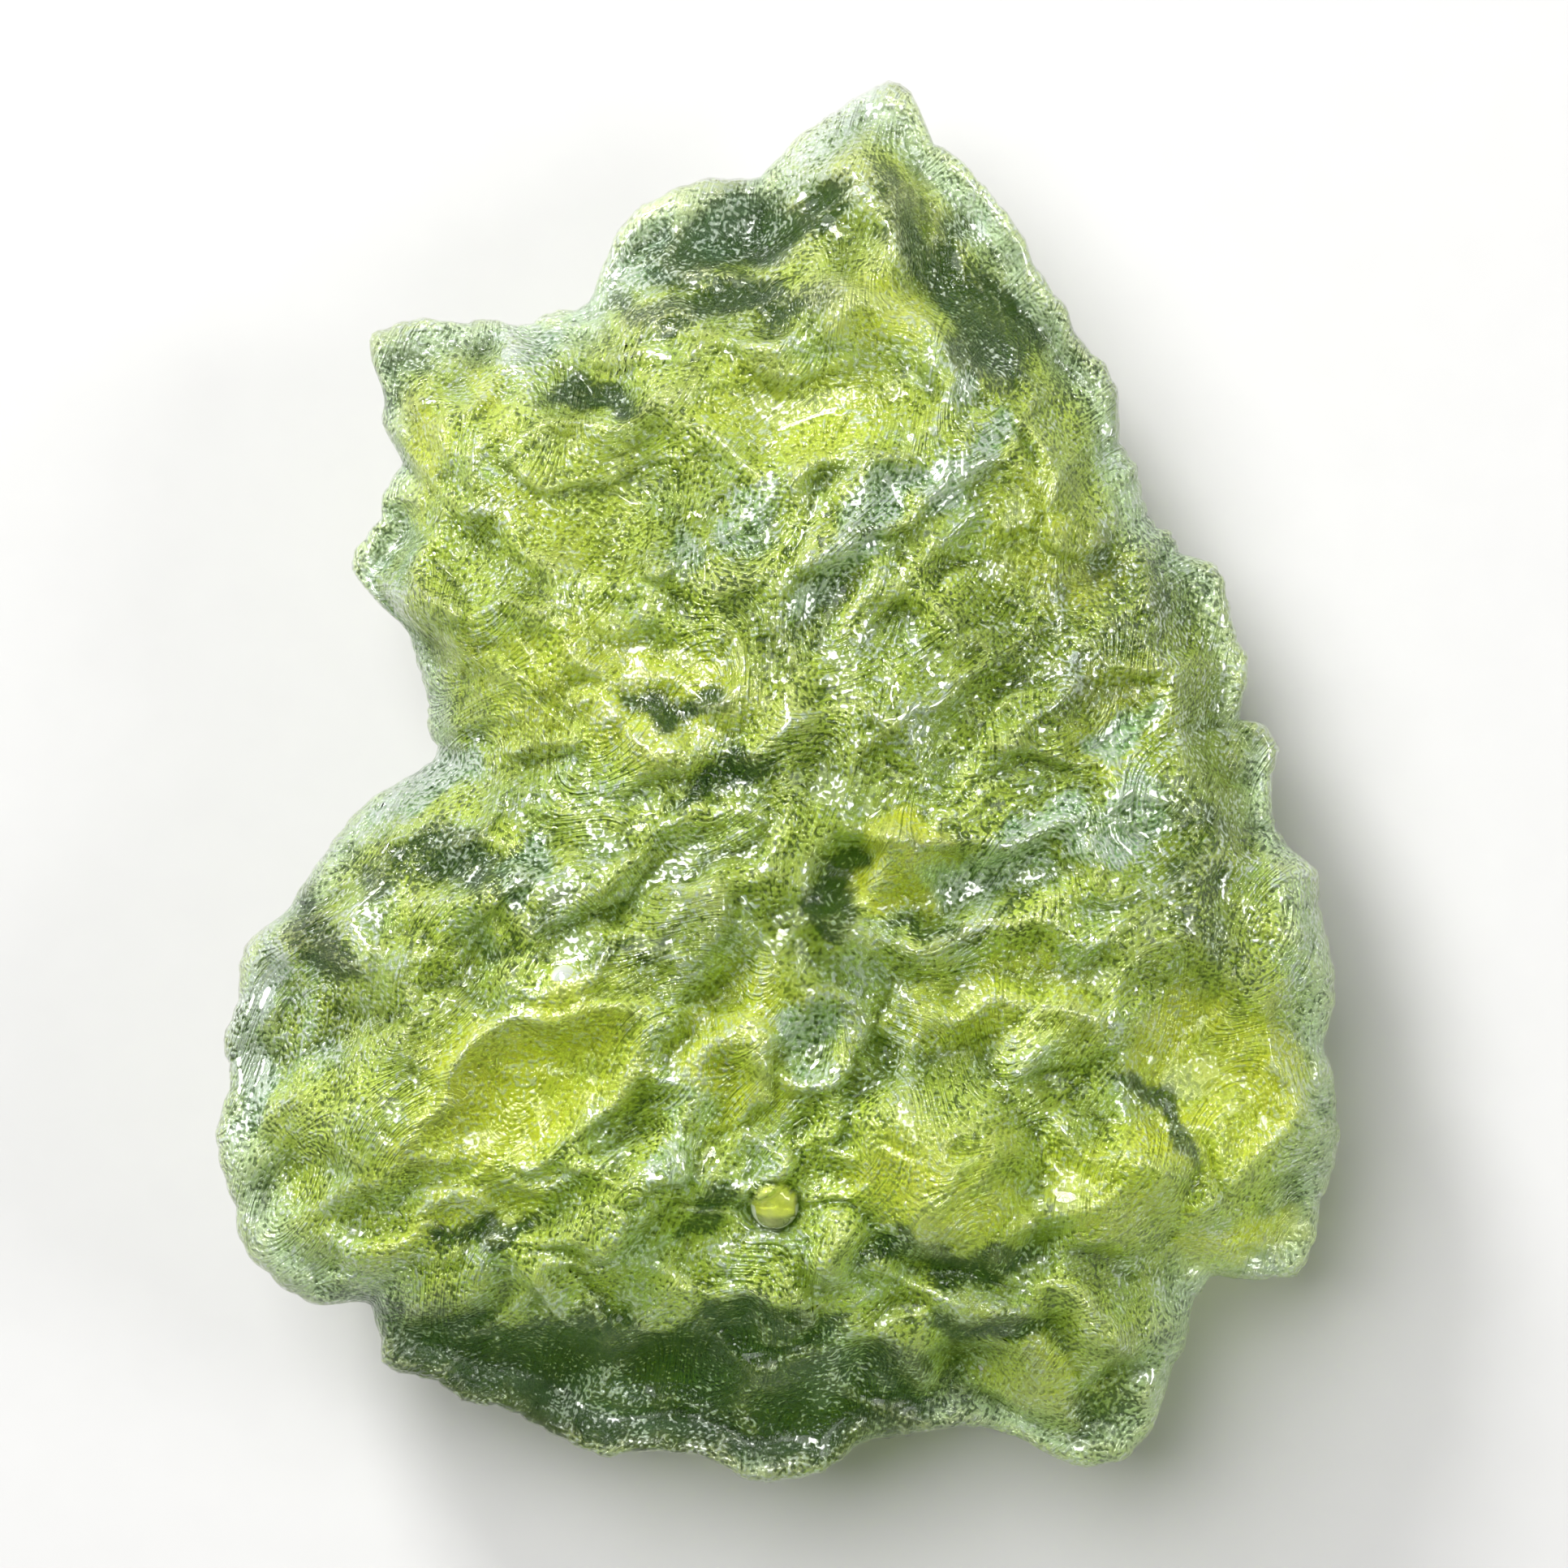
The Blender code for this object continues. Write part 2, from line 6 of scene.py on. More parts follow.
import bmesh
import bpy
import numpy as np
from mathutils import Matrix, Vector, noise


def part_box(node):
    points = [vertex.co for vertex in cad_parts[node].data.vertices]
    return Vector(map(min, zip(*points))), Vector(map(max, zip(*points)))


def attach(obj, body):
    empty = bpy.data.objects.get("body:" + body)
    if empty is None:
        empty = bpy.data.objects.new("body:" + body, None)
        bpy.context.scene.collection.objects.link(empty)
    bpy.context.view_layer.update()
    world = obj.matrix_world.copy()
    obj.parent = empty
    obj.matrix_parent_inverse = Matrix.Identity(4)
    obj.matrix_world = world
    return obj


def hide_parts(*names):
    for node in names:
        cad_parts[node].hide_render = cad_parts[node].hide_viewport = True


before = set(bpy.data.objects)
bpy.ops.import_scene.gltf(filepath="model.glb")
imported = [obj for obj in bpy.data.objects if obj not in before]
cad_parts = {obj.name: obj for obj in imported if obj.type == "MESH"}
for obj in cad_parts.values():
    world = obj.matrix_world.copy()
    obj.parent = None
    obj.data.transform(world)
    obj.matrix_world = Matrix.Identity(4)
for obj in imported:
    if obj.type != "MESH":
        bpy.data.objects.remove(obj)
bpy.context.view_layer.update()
mm = 0.001

stone = {
    "cuts": 125,  # along each side of the cube that the stone starts from
    "rimHeight": 3.7,  # mm, as the next ones
    "rimSways": [(2, 0.6, 0.5), (5, 2.0, 0.3), (9, 4.0, 0.15)],  # waves, start, height
    "frontRise": 4.9,
    "backDrop": 4.1,
    "crownFlatness": 2.5,
    "edgeCurve": 0.6,
    "rimBand": 0.07,  # share of the way in from the rim over which the sculpture starts
    "fineRimBand": 0.03,
    "rimFades": {"jags": 4, "sways": 3, "nicks": 12},  # powers by which each dies away from the rim
    "nicks": {"many": 75, "out": 0.07, "drifts": 9, "drift": 2, "in": 0.6},
    "cliffWidth": 0.25,
    "swirls": [(0.17, 1.9), (0.09, 4.3)],  # how far, and how often
    "fineSwirl": [(0.035, 11.0)],
    "heart": (0.0, -1.0),
    "flatSpot": (0.2, -1.1),
    "flatReach": 4.3,
    "flatEdge": (0.9, 0.5),  # where its edge starts, and how soft it is, in shares of the reach
    "flatEtch": 0.3,  # share of the back's etching that runs across the flat spot
    "flowCentre": (0.6, -3.2),  # the etching runs away from here
    "drawnOut": 1.5,
    "frontSpeckle": {"count": 210, "size": (0.5, 0.95), "depth": (0.2, 0.42), "seed": 7},
    "backSpeckle": {"count": 170, "size": (0.9, 2.1), "depth": (0.45, 0.95), "seed": 21},
    "fineTongues": {"count": 1500, "size": (0.16, 0.36), "depth": (0.06, 0.16), "seed": 11},
    "fineBack": {"count": 900, "size": (0.25, 0.55), "depth": (0.08, 0.2), "seed": 12},
    "swirl": 0.35,  # how far the flow lines wander, in radians
    "flowLines": 55.0,
    "clouds": {"perMm": 0.9, "roughness": 0.7, "step": 2.0, "octaves": 4, "spread": 0.3},
    "goldAndGlowCalm": 0.45,  # how much weaker the fine etching is where the glass is golden and painted glowing
    "crispPasses": 2,  # of smoothing, as the next two
    "reliefPasses": 8,
    "broadPasses": 40,
}

# The rim seen from the front, clockwise from the spire's tip, in mm from the middle of the box
rimPoints = [
    (2.3, 15.0), (2.7, 14.8), (3.0, 14.3), (3.2, 13.7), (3.75, 13.3), (4.15, 12.85),
    (4.6, 12.3), (5.1, 11.6), (5.3, 11.1), (5.6, 10.6), (6.05, 10.0), (6.25, 9.45),
    (6.6, 9.1), (6.9, 8.8), (7.15, 8.2), (7.2, 7.25), (7.55, 6.7), (7.7, 6.0),
    (7.95, 5.45), (8.3, 5.3), (8.5, 4.85), (9.05, 4.7), (9.35, 4.4), (9.5, 3.7),
    (9.65, 3.05), (9.9, 2.55), (9.8, 1.75), (9.7, 1.35), (10.15, 1.25), (10.45, 0.9),
    (10.55, 0.55), (10.4, 0.1), (10.45, -0.85), (10.85, -1.5), (11.35, -1.9), (11.4, -2.65),
    (11.6, -3.5), (11.75, -4.3), (11.7, -5.0), (11.55, -5.6), (11.8, -6.4), (11.85, -7.1),
    (11.95, -7.6), (11.8, -8.45), (11.55, -9.15), (11.5, -9.75), (11.15, -10.6), (10.85, -10.7),
    (9.85, -10.75), (9.3, -10.65), (8.95, -11.05), (8.75, -11.45), (8.7, -12.0), (8.3, -12.8),
    (8.1, -13.55), (7.7, -14.2), (7.2, -14.6), (6.25, -14.7), (5.55, -14.35), (4.8, -14.0),
    (3.9, -13.85), (2.55, -14.05), (1.75, -14.15), (1.25, -14.55), (0.7, -14.85), (-0.5, -15.0),
    (-1.1, -14.75), (-1.7, -14.45), (-3.0, -14.35), (-3.65, -14.5), (-4.3, -14.3), (-5.2, -13.85),
    (-5.95, -13.45), (-6.75, -13.3), (-7.35, -12.85), (-8.4, -12.5), (-8.5, -11.95), (-8.7, -11.2),
    (-9.0, -11.05), (-9.6, -11.15), (-10.3, -10.9), (-11.0, -10.3), (-11.4, -9.8), (-11.55, -9.0),
    (-11.8, -8.3), (-11.95, -7.5), (-11.8, -6.9), (-11.65, -6.3), (-11.8, -5.5), (-11.5, -4.65),
    (-11.45, -3.75), (-11.1, -3.2), (-10.55, -2.85), (-10.15, -2.2), (-9.7, -1.55), (-9.25, -0.9),
    (-8.7, -0.35), (-7.95, 0.1), (-7.45, 0.45), (-7.35, 0.7), (-7.55, 1.1), (-7.55, 1.75),
    (-7.75, 2.45), (-8.0, 3.25), (-8.6, 3.8), (-9.0, 4.3), (-9.15, 4.7), (-8.9, 5.15),
    (-8.55, 5.6), (-8.45, 6.2), (-8.1, 6.75), (-8.25, 7.15), (-8.5, 7.65), (-8.5, 8.35),
    (-8.75, 9.0), (-8.8, 9.5), (-8.4, 9.75), (-7.7, 9.95), (-6.85, 9.85), (-6.3, 9.95),
    (-5.55, 9.8), (-4.95, 10.1), (-4.25, 10.2), (-4.0, 10.6), (-3.75, 11.3), (-3.35, 12.05),
    (-2.75, 12.5), (-1.65, 12.95), (-0.6, 12.95), (-0.15, 13.3), (0.3, 13.8), (0.95, 14.25),
    (1.65, 14.7),
]

# Broad hollows and pits on the front: x, y, half length, half width, turn in degrees, depth, in mm
skirtHollows = [
    (-3.2, -13.4, 7.2, 2.9, -4, 1.6),
    (4.8, -13.2, 3.4, 2.2, -14, 1.3),
    (4.3, 11.2, 5.2, 1.7, -58, 1.2),
    (-1.6, 11.3, 3.6, 2.4, 8, 0.9),
    (-7.6, 9.0, 1.9, 1.5, 0, 0.8),
    (-9.2, 4.9, 1.6, 3.0, 12, 0.9),
    (9.6, 2.2, 1.6, 5.0, 12, 0.7),
    (-10.4, -6.6, 1.7, 4.0, -6, 0.8),
    (10.6, -9.8, 2.2, 1.6, 20, 0.8),
]
spirePits = [
    (1.3, 13.9, 1.2, 0.8, 35, 0.45),
    (3.9, 12.2, 1.8, 0.7, -55, 0.45),
    (2.6, 12.9, 1.1, 0.8, -70, 0.35),
    (-0.8, 11.6, 1.7, 0.8, 12, 0.8),
    (0.8, 12.2, 0.8, 0.55, 10, 0.45),
    (-1.9, 11.2, 0.6, 0.5, 20, 0.5),
    (-3.0, 11.4, 1.0, 0.8, 60, 0.5),
    (1.4, 11.1, 1.1, 0.9, -50, 0.6),
    (3.4, 10.3, 2.6, 1.0, -54, 0.75),
    (5.2, 9.4, 2.3, 0.8, -57, 0.55),
    (-1.8, 10.2, 2.2, 0.6, 4, 0.5),
]
shoulderPits = [
    (-8.0, 8.8, 1.0, 0.8, 70, 0.5),
    (-6.6, 8.9, 1.0, 0.7, 80, 0.5),
    (-5.9, 7.8, 1.0, 0.55, 80, 0.45),
    (-4.2, 8.2, 1.6, 0.85, -10, 0.75),
    (-4.9, 9.5, 1.4, 0.6, -20, 0.5),
    (-7.4, 7.2, 1.1, 0.6, 60, 0.55),
    (-8.0, 5.2, 0.9, 1.4, 15, 0.7),
    (-7.6, 3.0, 1.3, 0.7, -60, 0.6),
    (-0.2, 9.7, 1.3, 0.5, 5, 0.45),
    (2.9, 8.0, 0.5, 0.4, 0, 0.45),
    (4.6, 7.9, 0.9, 0.6, -60, 0.5),
]
upperBasinPits = [
    (-3.4, 5.9, 3.5, 1.8, 2, 1.1),
    (0.6, 7.7, 2.9, 1.5, 6, 0.85),
    (-6.3, 4.6, 1.4, 1.0, -20, 0.75),
    (-0.6, 5.0, 1.4, 0.7, 50, 0.6),
    (0.9, 5.6, 1.5, 0.6, 48, 0.55),
    (2.3, 6.0, 1.4, 0.5, 45, 0.4),
    (4.4, 4.2, 1.6, 1.3, -30, 0.8),
    (6.4, 6.9, 2.2, 0.9, -62, 0.55),
    (6.6, 4.4, 1.5, 1.0, -50, 0.5),
    (8.4, 3.4, 1.4, 1.0, -75, 0.45),
    (0.8, 3.4, 1.4, 0.8, 60, 0.8),
    (2.5, 2.5, 1.3, 1.0, 40, 0.65),
]
waistPits = [
    (-5.4, 2.7, 1.9, 0.8, -10, 0.65),
    (-2.8, 2.6, 2.1, 0.9, -18, 0.65),
    (-2.3, 1.5, 1.7, 0.55, -14, 0.6),
    (-4.6, 1.3, 0.6, 0.5, 0, 0.4),
    (-5.9, 0.8, 1.2, 0.6, 20, 0.55),
    (-1.0, 0.1, 1.8, 0.55, 20, 0.55),
    (-2.0, -1.6, 2.3, 0.8, 24, 0.7),
    (-3.6, -2.9, 2.1, 0.7, 30, 0.65),
    (-4.9, -1.3, 0.9, 0.8, 10, 0.6),
    (-7.1, -1.7, 1.7, 0.8, -6, 0.65),
    (-9.1, -2.1, 1.2, 0.7, 55, 0.45),
    (-7.4, -0.2, 1.4, 0.6, 25, 0.5),
    (4.2, 1.5, 1.9, 1.0, 30, 0.75),
    (6.7, 1.4, 1.5, 1.2, 20, 0.7),
    (9.0, 0.6, 1.6, 0.9, -80, 0.45),
    (1.2, -2.0, 0.9, 1.1, 0, 1.0),
    (3.8, -2.1, 2.9, 1.1, 8, 1.0),
    (5.1, -0.3, 2.5, 0.9, 12, 0.75),
    (7.3, -1.3, 1.5, 1.2, 30, 0.6),
    (9.7, -2.6, 2.3, 0.9, -80, 0.5),
]
lowerLeftPits = [
    (-4.8, -6.2, 3.2, 1.4, 33, 1.0),
    (-6.6, -4.2, 1.9, 0.9, 70, 0.7),
    (-8.9, -5.3, 1.4, 1.8, -10, 0.7),
    (-10.5, -5.2, 1.0, 1.6, 0, 0.45),
    (-2.9, -7.0, 1.5, 0.9, 50, 0.75),
    (-1.5, -4.7, 2.0, 0.8, 66, 0.85),
    (-1.2, -6.6, 1.6, 0.7, 62, 0.7),
    (-8.1, -8.8, 2.3, 0.8, 24, 0.7),
    (-5.6, -9.0, 2.3, 0.8, 20, 0.75),
    (-10.2, -8.4, 1.3, 0.9, 50, 0.5),
    (-9.6, -10.1, 1.2, 0.6, -25, 0.4),
    (-1.6, -9.3, 2.0, 0.8, 30, 0.8),
    (-3.3, -10.4, 1.7, 0.7, 14, 0.7),
    (-6.2, -10.9, 1.4, 0.6, 40, 0.65),
]
lowerRightPits = [
    (4.3, -3.9, 3.2, 0.9, 3, 0.75),
    (3.9, -5.3, 1.9, 0.9, 0, 0.6),
    (2.1, -5.2, 0.7, 1.5, 0, 0.8),
    (0.6, -5.3, 0.9, 0.8, 0, 0.5),
    (0.6, -6.9, 0.9, 0.8, 0, 0.55),
    (0.9, -8.3, 0.8, 0.7, 0, 0.5),
    (8.6, -5.7, 2.5, 1.9, -48, 0.95),
    (6.3, -6.3, 1.3, 1.1, -50, 0.6),
    (3.4, -10.2, 1.9, 0.6, -12, 0.65),
    (5.8, -11.4, 1.3, 0.6, -35, 0.55),
    (5.2, -9.9, 0.8, 0.6, -20, 0.6),
    (7.7, -10.4, 1.5, 1.0, 10, 0.5),
    (10.2, -8.8, 1.4, 1.1, 60, 0.5),
    (10.6, -5.0, 0.9, 1.5, 0, 0.4),
]
lowerEdgePits = [
    (-0.2, -11.3, 1.6, 0.8, 5, 0.95),
    (2.0, -12.4, 1.2, 0.8, -10, 0.8),
    (4.3, -12.4, 1.6, 0.7, -24, 0.8),
    (7.1, -12.8, 1.3, 0.9, 70, 0.55),
    (-2.1, -12.5, 1.7, 1.0, 10, 0.75),
    (-4.7, -12.4, 1.6, 0.9, 0, 0.6),
    (-7.4, -11.7, 1.1, 0.8, -20, 0.45),
    (0.4, -13.4, 1.3, 0.8, 0, 0.5),
]

# Rounded lumps, and tongues that rise along their turn to a small cliff, with a height last
lumps = [
    (1.5, 9.6, 1.9, 0.7, -12, 0.55),
    (-0.5, 1.5, 0.8, 0.7, 0, 0.45),
    (3.1, 1.8, 1.7, 1.5, 20, 0.6),
    (-4.9, 2.9, 1.7, 0.8, -8, 0.5),
    (-0.1, 1.1, 0.9, 1.1, 0, 0.5),
    (2.3, -1.7, 1.0, 0.8, 20, 0.8),
    (3.2, -8.0, 2.1, 2.0, -20, 1.2),
    (6.7, -8.3, 1.8, 1.5, -25, 1.0),
    (1.3, -9.6, 0.75, 0.75, 0, 0.8),
    (2.2, -10.1, 0.55, 0.5, 0, 0.55),
    (3.8, -10.7, 1.25, 0.6, -8, 0.8),
    (2.6, -12.0, 1.1, 1.0, 0, 0.7),
    (6.4, -11.4, 1.2, 0.9, -40, 0.7),
    (5.3, -12.8, 1.4, 1.1, -30, 0.9),
    (-10.0, -6.8, 0.9, 1.3, -20, 0.35),
]
tongues = [
    (-5.1, -6.2, 3.0, 1.5, 28, 0.6),
    (-7.6, -6.0, 2.0, 1.2, 48, 0.45),
    (-1.5, -5.9, 1.7, 1.3, 24, 0.55),
    (-0.9, -7.8, 1.0, 0.8, -10, 0.5),
    (-3.6, -8.2, 1.8, 0.7, 14, 0.4),
    (0.7, -5.3, 0.9, 1.1, -20, 0.55),
    (0.6, -6.8, 1.0, 0.75, -10, 0.5),
    (0.7, -8.1, 1.0, 0.7, -15, 0.5),
    (-1.6, -9.3, 1.1, 0.6, 30, 0.45),
    (-4.2, -9.4, 1.2, 0.6, 20, 0.4),
    (-7.4, -9.2, 1.7, 0.7, 15, 0.4),
    (4.7, -9.0, 0.9, 0.7, -80, 0.4),
    (-4.6, -10.5, 1.2, 0.6, -60, 0.35),
    (-2.6, -10.6, 1.2, 0.7, -80, 0.4),
    (-0.2, -10.6, 1.2, 0.7, -70, 0.45),
    (2.2, 5.9, 1.6, 0.7, -140, 0.4),
    (1.0, 5.0, 0.9, 0.6, -130, 0.4),
    (-2.2, 4.8, 0.9, 0.5, -110, 0.35),
    (0.6, 3.4, 1.2, 0.5, -120, 0.4),
    (-0.7, 4.4, 1.1, 0.5, -125, 0.35),
    (4.3, 3.6, 1.5, 1.0, -150, 0.45),
    (4.4, 7.1, 1.4, 0.6, -130, 0.4),
    (6.2, 5.9, 1.6, 0.8, -120, 0.4),
    (5.9, 1.2, 1.8, 0.9, 190, 0.4),
    (4.6, -0.7, 2.0, 0.8, 190, 0.4),
    (7.4, -1.4, 1.6, 0.9, 195, 0.4),
    (4.6, -3.2, 2.2, 0.8, 185, 0.35),
    (3.4, -4.6, 1.8, 0.9, -160, 0.4),
    (6.0, -5.0, 1.7, 0.9, -150, 0.4),
    (-3.4, 0.6, 1.9, 0.7, -12, 0.4),
    (-5.6, 1.3, 1.6, 0.7, -16, 0.4),
    (-2.2, -1.4, 2.0, 0.7, 22, 0.4),
    (-4.4, -2.3, 1.9, 0.7, 26, 0.4),
    (-6.6, -2.6, 1.7, 0.7, 20, 0.35),
    (-2.3, -3.0, 1.7, 0.7, 24, 0.4),
    (-4.7, -3.9, 1.8, 0.8, 30, 0.4),
    (-7.7, 4.3, 1.4, 0.8, -30, 0.35),
    (-3.3, 7.1, 2.4, 0.9, -168, 0.4),
    (0.6, 9.0, 1.7, 0.6, -170, 0.4),
    (-1.9, 9.7, 1.6, 0.6, -176, 0.35),
    (3.0, 12.0, 1.5, 0.7, -130, 0.35),
]

# Creases: points along each, then its half width and depth
creases = [
    ([(6.5, -5.7), (7.8, -7.0), (9.5, -8.6)], 0.35, 0.5),
    ([(1.8, 12.0), (3.2, 10.6), (4.6, 8.8), (5.2, 6.4)], 0.3, 0.35),
    ([(-4.9, 9.0), (-2.6, 8.6), (-0.4, 8.7)], 0.3, 0.4),
    ([(-8.3, -8.3), (-6.6, -7.9), (-4.6, -8.0)], 0.3, 0.35),
    ([(-7.0, -9.9), (-4.0, -9.7), (-1.2, -10.4)], 0.3, 0.35),
]

# Bubbles of gas in the glass: x, y, how far under the front, radius, in mm
bubbles = [
    (-0.15, -8.7, 0.62, 0.5),
    (-4.4, -4.05, 0.4, 0.32),
    (4.3, -12.4, 0.3, 0.15),
]
bubbleDome = {  # over the first bubble: its height in mm, the others in shares of the bubble's radius
    "height": 0.3,
    "plain": (1.15, 0.2),  # how far out the glass is plain, and how softly that ends
    "groove": (1.05, 0.25),  # its place and half width
    "ring": (1.02, 0.14, 0.9),  # a dark line of painted shade round the bubble: place, half width, strength
    "shadow": (0.3, 0.14, 2.5),  # painted shadow on the lower side: start, softness, strength
    "shadowRim": 0.1,
}

# Patches on the front, each with x, y, half length, half width, turn, strength: painted sheen, painted
# shade, golden glass with painted glow, and olive glass partly darkened as painted shade
paintedSheenPatches = [
    (3.8, 6.6, 1.3, 0.5, 52, 0.9), (2.0, 5.4, 1.4, 0.6, 45, 1.0), (0.8, 4.2, 1.1, 0.45, 62, 0.8),
    (-2.1, 4.9, 0.8, 0.35, 80, 0.7), (-0.6, 5.2, 1.3, 0.5, 48, 0.6), (4.2, -1.7, 1.4, 0.7, 12, 0.7),
    (6.6, -0.8, 1.8, 0.8, 8, 0.75), (7.0, 1.1, 0.8, 0.45, 20, 0.7), (-7.3, -0.1, 1.5, 0.5, 12, 1.0),
    (-5.2, -1.7, 0.5, 0.8, 10, 0.8), (-3.7, -13.3, 1.2, 0.7, -8, 0.7), (1.0, -12.2, 0.6, 1.1, 0, 0.6),
    (-1.0, 11.7, 1.3, 0.7, 10, 0.6), (0.7, -5.1, 0.7, 1.1, 0, 0.6), (-11.1, -5.2, 0.45, 2.3, -6, 1.4),
    (8.8, -2.2, 0.6, 1.5, 5, 0.2), (1.4, 14.0, 0.9, 0.5, 40, 1.0), (0.6, 13.2, 0.9, 0.4, 38, 1.0),
    (3.9, 8.3, 0.5, 0.35, 30, 0.9), (-8.4, 5.2, 0.9, 1.8, 8, 0.5), (-2.8, 11.4, 1.0, 1.0, 30, 0.5),
    (-9.6, -5.2, 0.9, 1.3, -10, 0.5), (-2.0, -7.0, 0.5, 1.2, 20, 0.5), (5.0, 13.0, 0.5, 1.4, -35, 0.8),
    (9.3, -10.3, 1.6, 0.3, 4, 0.4), (-5.5, 9.3, 0.9, 0.4, -20, 0.6),
]
darkPatches = [
    (-2.6, -12.9, 6.0, 1.7, -4, 1.5), (-8.0, -11.4, 1.6, 0.8, -25, 0.6), (-9.4, -3.3, 0.4, 0.9, 20, 0.9),
    (-6.9, -1.7, 2.2, 0.7, -4, 0.6), (-2.4, 1.6, 1.2, 0.3, -12, 1.0), (-0.9, 0.0, 1.3, 0.35, 15, 1.0),
    (1.2, -2.4, 0.5, 1.0, 0, 1.4), (2.6, 11.6, 1.6, 0.5, -55, 0.9), (3.9, 9.6, 1.7, 0.6, -62, 0.8),
    (-1.9, 11.2, 0.5, 0.4, 20, 1.5), (-0.6, 11.2, 0.9, 0.45, 15, 1.2), (0.7, 12.2, 0.9, 0.5, 10, 1.3),
    (-1.0, 11.5, 2.0, 1.0, 10, 0.9), (4.0, 10.2, 2.7, 0.9, -60, 0.8), (-9.8, -3.6, 0.5, 0.7, 0, 0.8),
    (-3.9, 7.9, 1.2, 0.4, -10, 0.8), (3.6, -9.8, 1.5, 0.4, -14, 1.5), (2.2, -12.4, 0.8, 0.6, 0, 1.1),
    (8.6, -2.0, 0.7, 2.0, 5, 0.5), (4.2, -11.3, 1.3, 0.4, -12, 1.2), (1.9, -9.9, 0.5, 0.3, 0, 1.2),
    (7.8, -7.0, 2.0, 0.25, -48, 0.8), (-6.3, -9.3, 1.4, 0.3, 22, 0.8), (-1.6, -8.9, 1.0, 0.3, 30, 0.7),
    (-0.2, -11.3, 1.6, 0.6, 5, 1.2), (2.9, -1.1, 1.2, 0.1, 18, 0.6), (-3.0, 5.6, 1.8, 1.2, 10, 0.25),
    (3.8, -2.9, 1.8, 0.15, 10, 0.8), (-7.9, 8.6, 0.8, 0.8, 0, 0.4), (-5.1, -2.9, 1.6, 0.25, 25, 0.5),
    (8.4, 4.3, 0.7, 1.6, 20, 0.35), (5.6, 2.9, 1.8, 2.0, 0, 0.3), (7.1, 4.2, 0.9, 2.2, 25, 0.4),
    (-1.4, 10.0, 2.6, 0.5, 4, 0.8), (6.9, -13.4, 0.8, 1.0, 60, 0.5), (-3.0, -3.3, 1.6, 0.2, 28, 0.6),
    (0.6, 3.2, 0.3, 0.9, -25, 0.4),
]
goldAndGlowPatches = [
    (-3.6, 1.9, 3.4, 1.5, -8, 0.65), (-5.2, -6.1, 3.1, 1.5, 34, 1.0), (3.3, -8.3, 1.9, 1.6, -20, 0.9),
    (9.0, -6.3, 2.0, 2.1, -40, 1.3), (-4.3, 5.6, 1.5, 1.8, 10, 0.35), (2.9, 12.2, 0.9, 0.6, -40, 0.7),
    (-6.0, 7.9, 0.35, 0.7, 0, 0.6), (2.4, -1.8, 1.2, 1.0, 20, 2.0), (6.9, -8.4, 1.6, 1.1, -25, 0.7),
    (5.6, 4.9, 1.5, 1.5, -40, 0.6), (-7.6, 6.9, 0.5, 1.6, 10, 0.7), (0.4, 7.6, 2.4, 1.1, 5, 0.5),
    (4.5, -4.6, 2.5, 1.0, 0, 0.6), (-1.0, -5.6, 1.2, 2.2, -22, 0.7), (5.2, -12.6, 1.2, 0.9, -30, 0.6),
    (2.4, -1.5, 0.9, 0.8, 0, 2.0), (1.9, 9.6, 1.2, 0.8, -20, 0.7), (-6.3, -8.8, 2.2, 0.6, 20, 0.6),
    (6.8, 1.5, 1.2, 1.2, 0, 0.5), (9.6, -9.9, 1.6, 0.7, 4, 1.3), (-9.0, 2.2, 0.4, 0.9, 0, 0.5),
]
oliveAndShadePatches = [
    (-4.8, 5.3, 2.2, 1.4, 10, 0.8), (-0.6, 3.4, 1.2, 1.6, -20, 0.6), (5.8, 2.8, 2.3, 2.6, 20, 1.5),
    (8.9, 0.4, 1.2, 3.6, -8, 1.4), (2.9, -6.2, 0.8, 1.6, 0, 0.5), (-7.2, -4.6, 1.0, 1.6, -20, 0.6),
    (2.0, 11.0, 1.3, 0.7, -30, 0.6), (4.6, 8.6, 1.8, 0.8, -62, 0.6), (1.5, 1.1, 2.6, 1.8, 0, 0.6),
    (-3.2, -8.6, 2.2, 0.6, 15, 0.5), (5.4, -7.6, 0.6, 1.6, -40, 0.5), (-1.6, -2.9, 2.4, 0.6, 25, 0.5),
]
backPatches = {"count": 26, "size": (0.5, 1.6), "depth": (0.5, 0.9)}
patchKinds = [("paintedSheen", paintedSheenPatches, 31), ("dark", darkPatches, 32), ("goldAndGlow", goldAndGlowPatches, 33),
              ("oliveAndShade", oliveAndShadePatches, 34)]  # the back's patches are strewn, by the seed given last


def smoothLoop(points, steps=8):  # the closed Catmull-Rom curve through the points
    here = np.array(points)
    before = np.roll(here, 1, axis=0)
    after = np.roll(here, -1, axis=0)
    beyond = np.roll(here, -2, axis=0)
    rows = []
    for t in np.linspace(0, 1, steps, endpoint=False):
        cubic = 3 * here - before - 3 * after + beyond
        square = 2 * before - 5 * here + 4 * after - beyond
        rows.append(here + 0.5 * t * (after - before + t * (square + t * cubic)))
    return np.stack(rows, axis=1).reshape(-1, 2)


def rimReaches(samples=1440, blur=18):  # the rim's distance from the heart, as it is and smoothed
    loop = smoothLoop(rimPoints) - np.array(stone["heart"])
    angle = np.arctan2(loop[:, 1], loop[:, 0])
    order = np.argsort(angle)
    even = np.linspace(-math.pi, math.pi, samples, endpoint=False)
    reach = np.interp(even, angle[order], np.hypot(*loop[order].T), period=2 * math.pi)
    window = np.hanning(2 * blur + 1)
    wrapped = np.concatenate([reach[-blur:], reach, reach[:blur]])
    return even, reach, np.convolve(wrapped, window / window.sum(), mode="valid")


def ease(value):
    t = np.clip(value, 0, 1)
    return t * t * (3 - 2 * t)


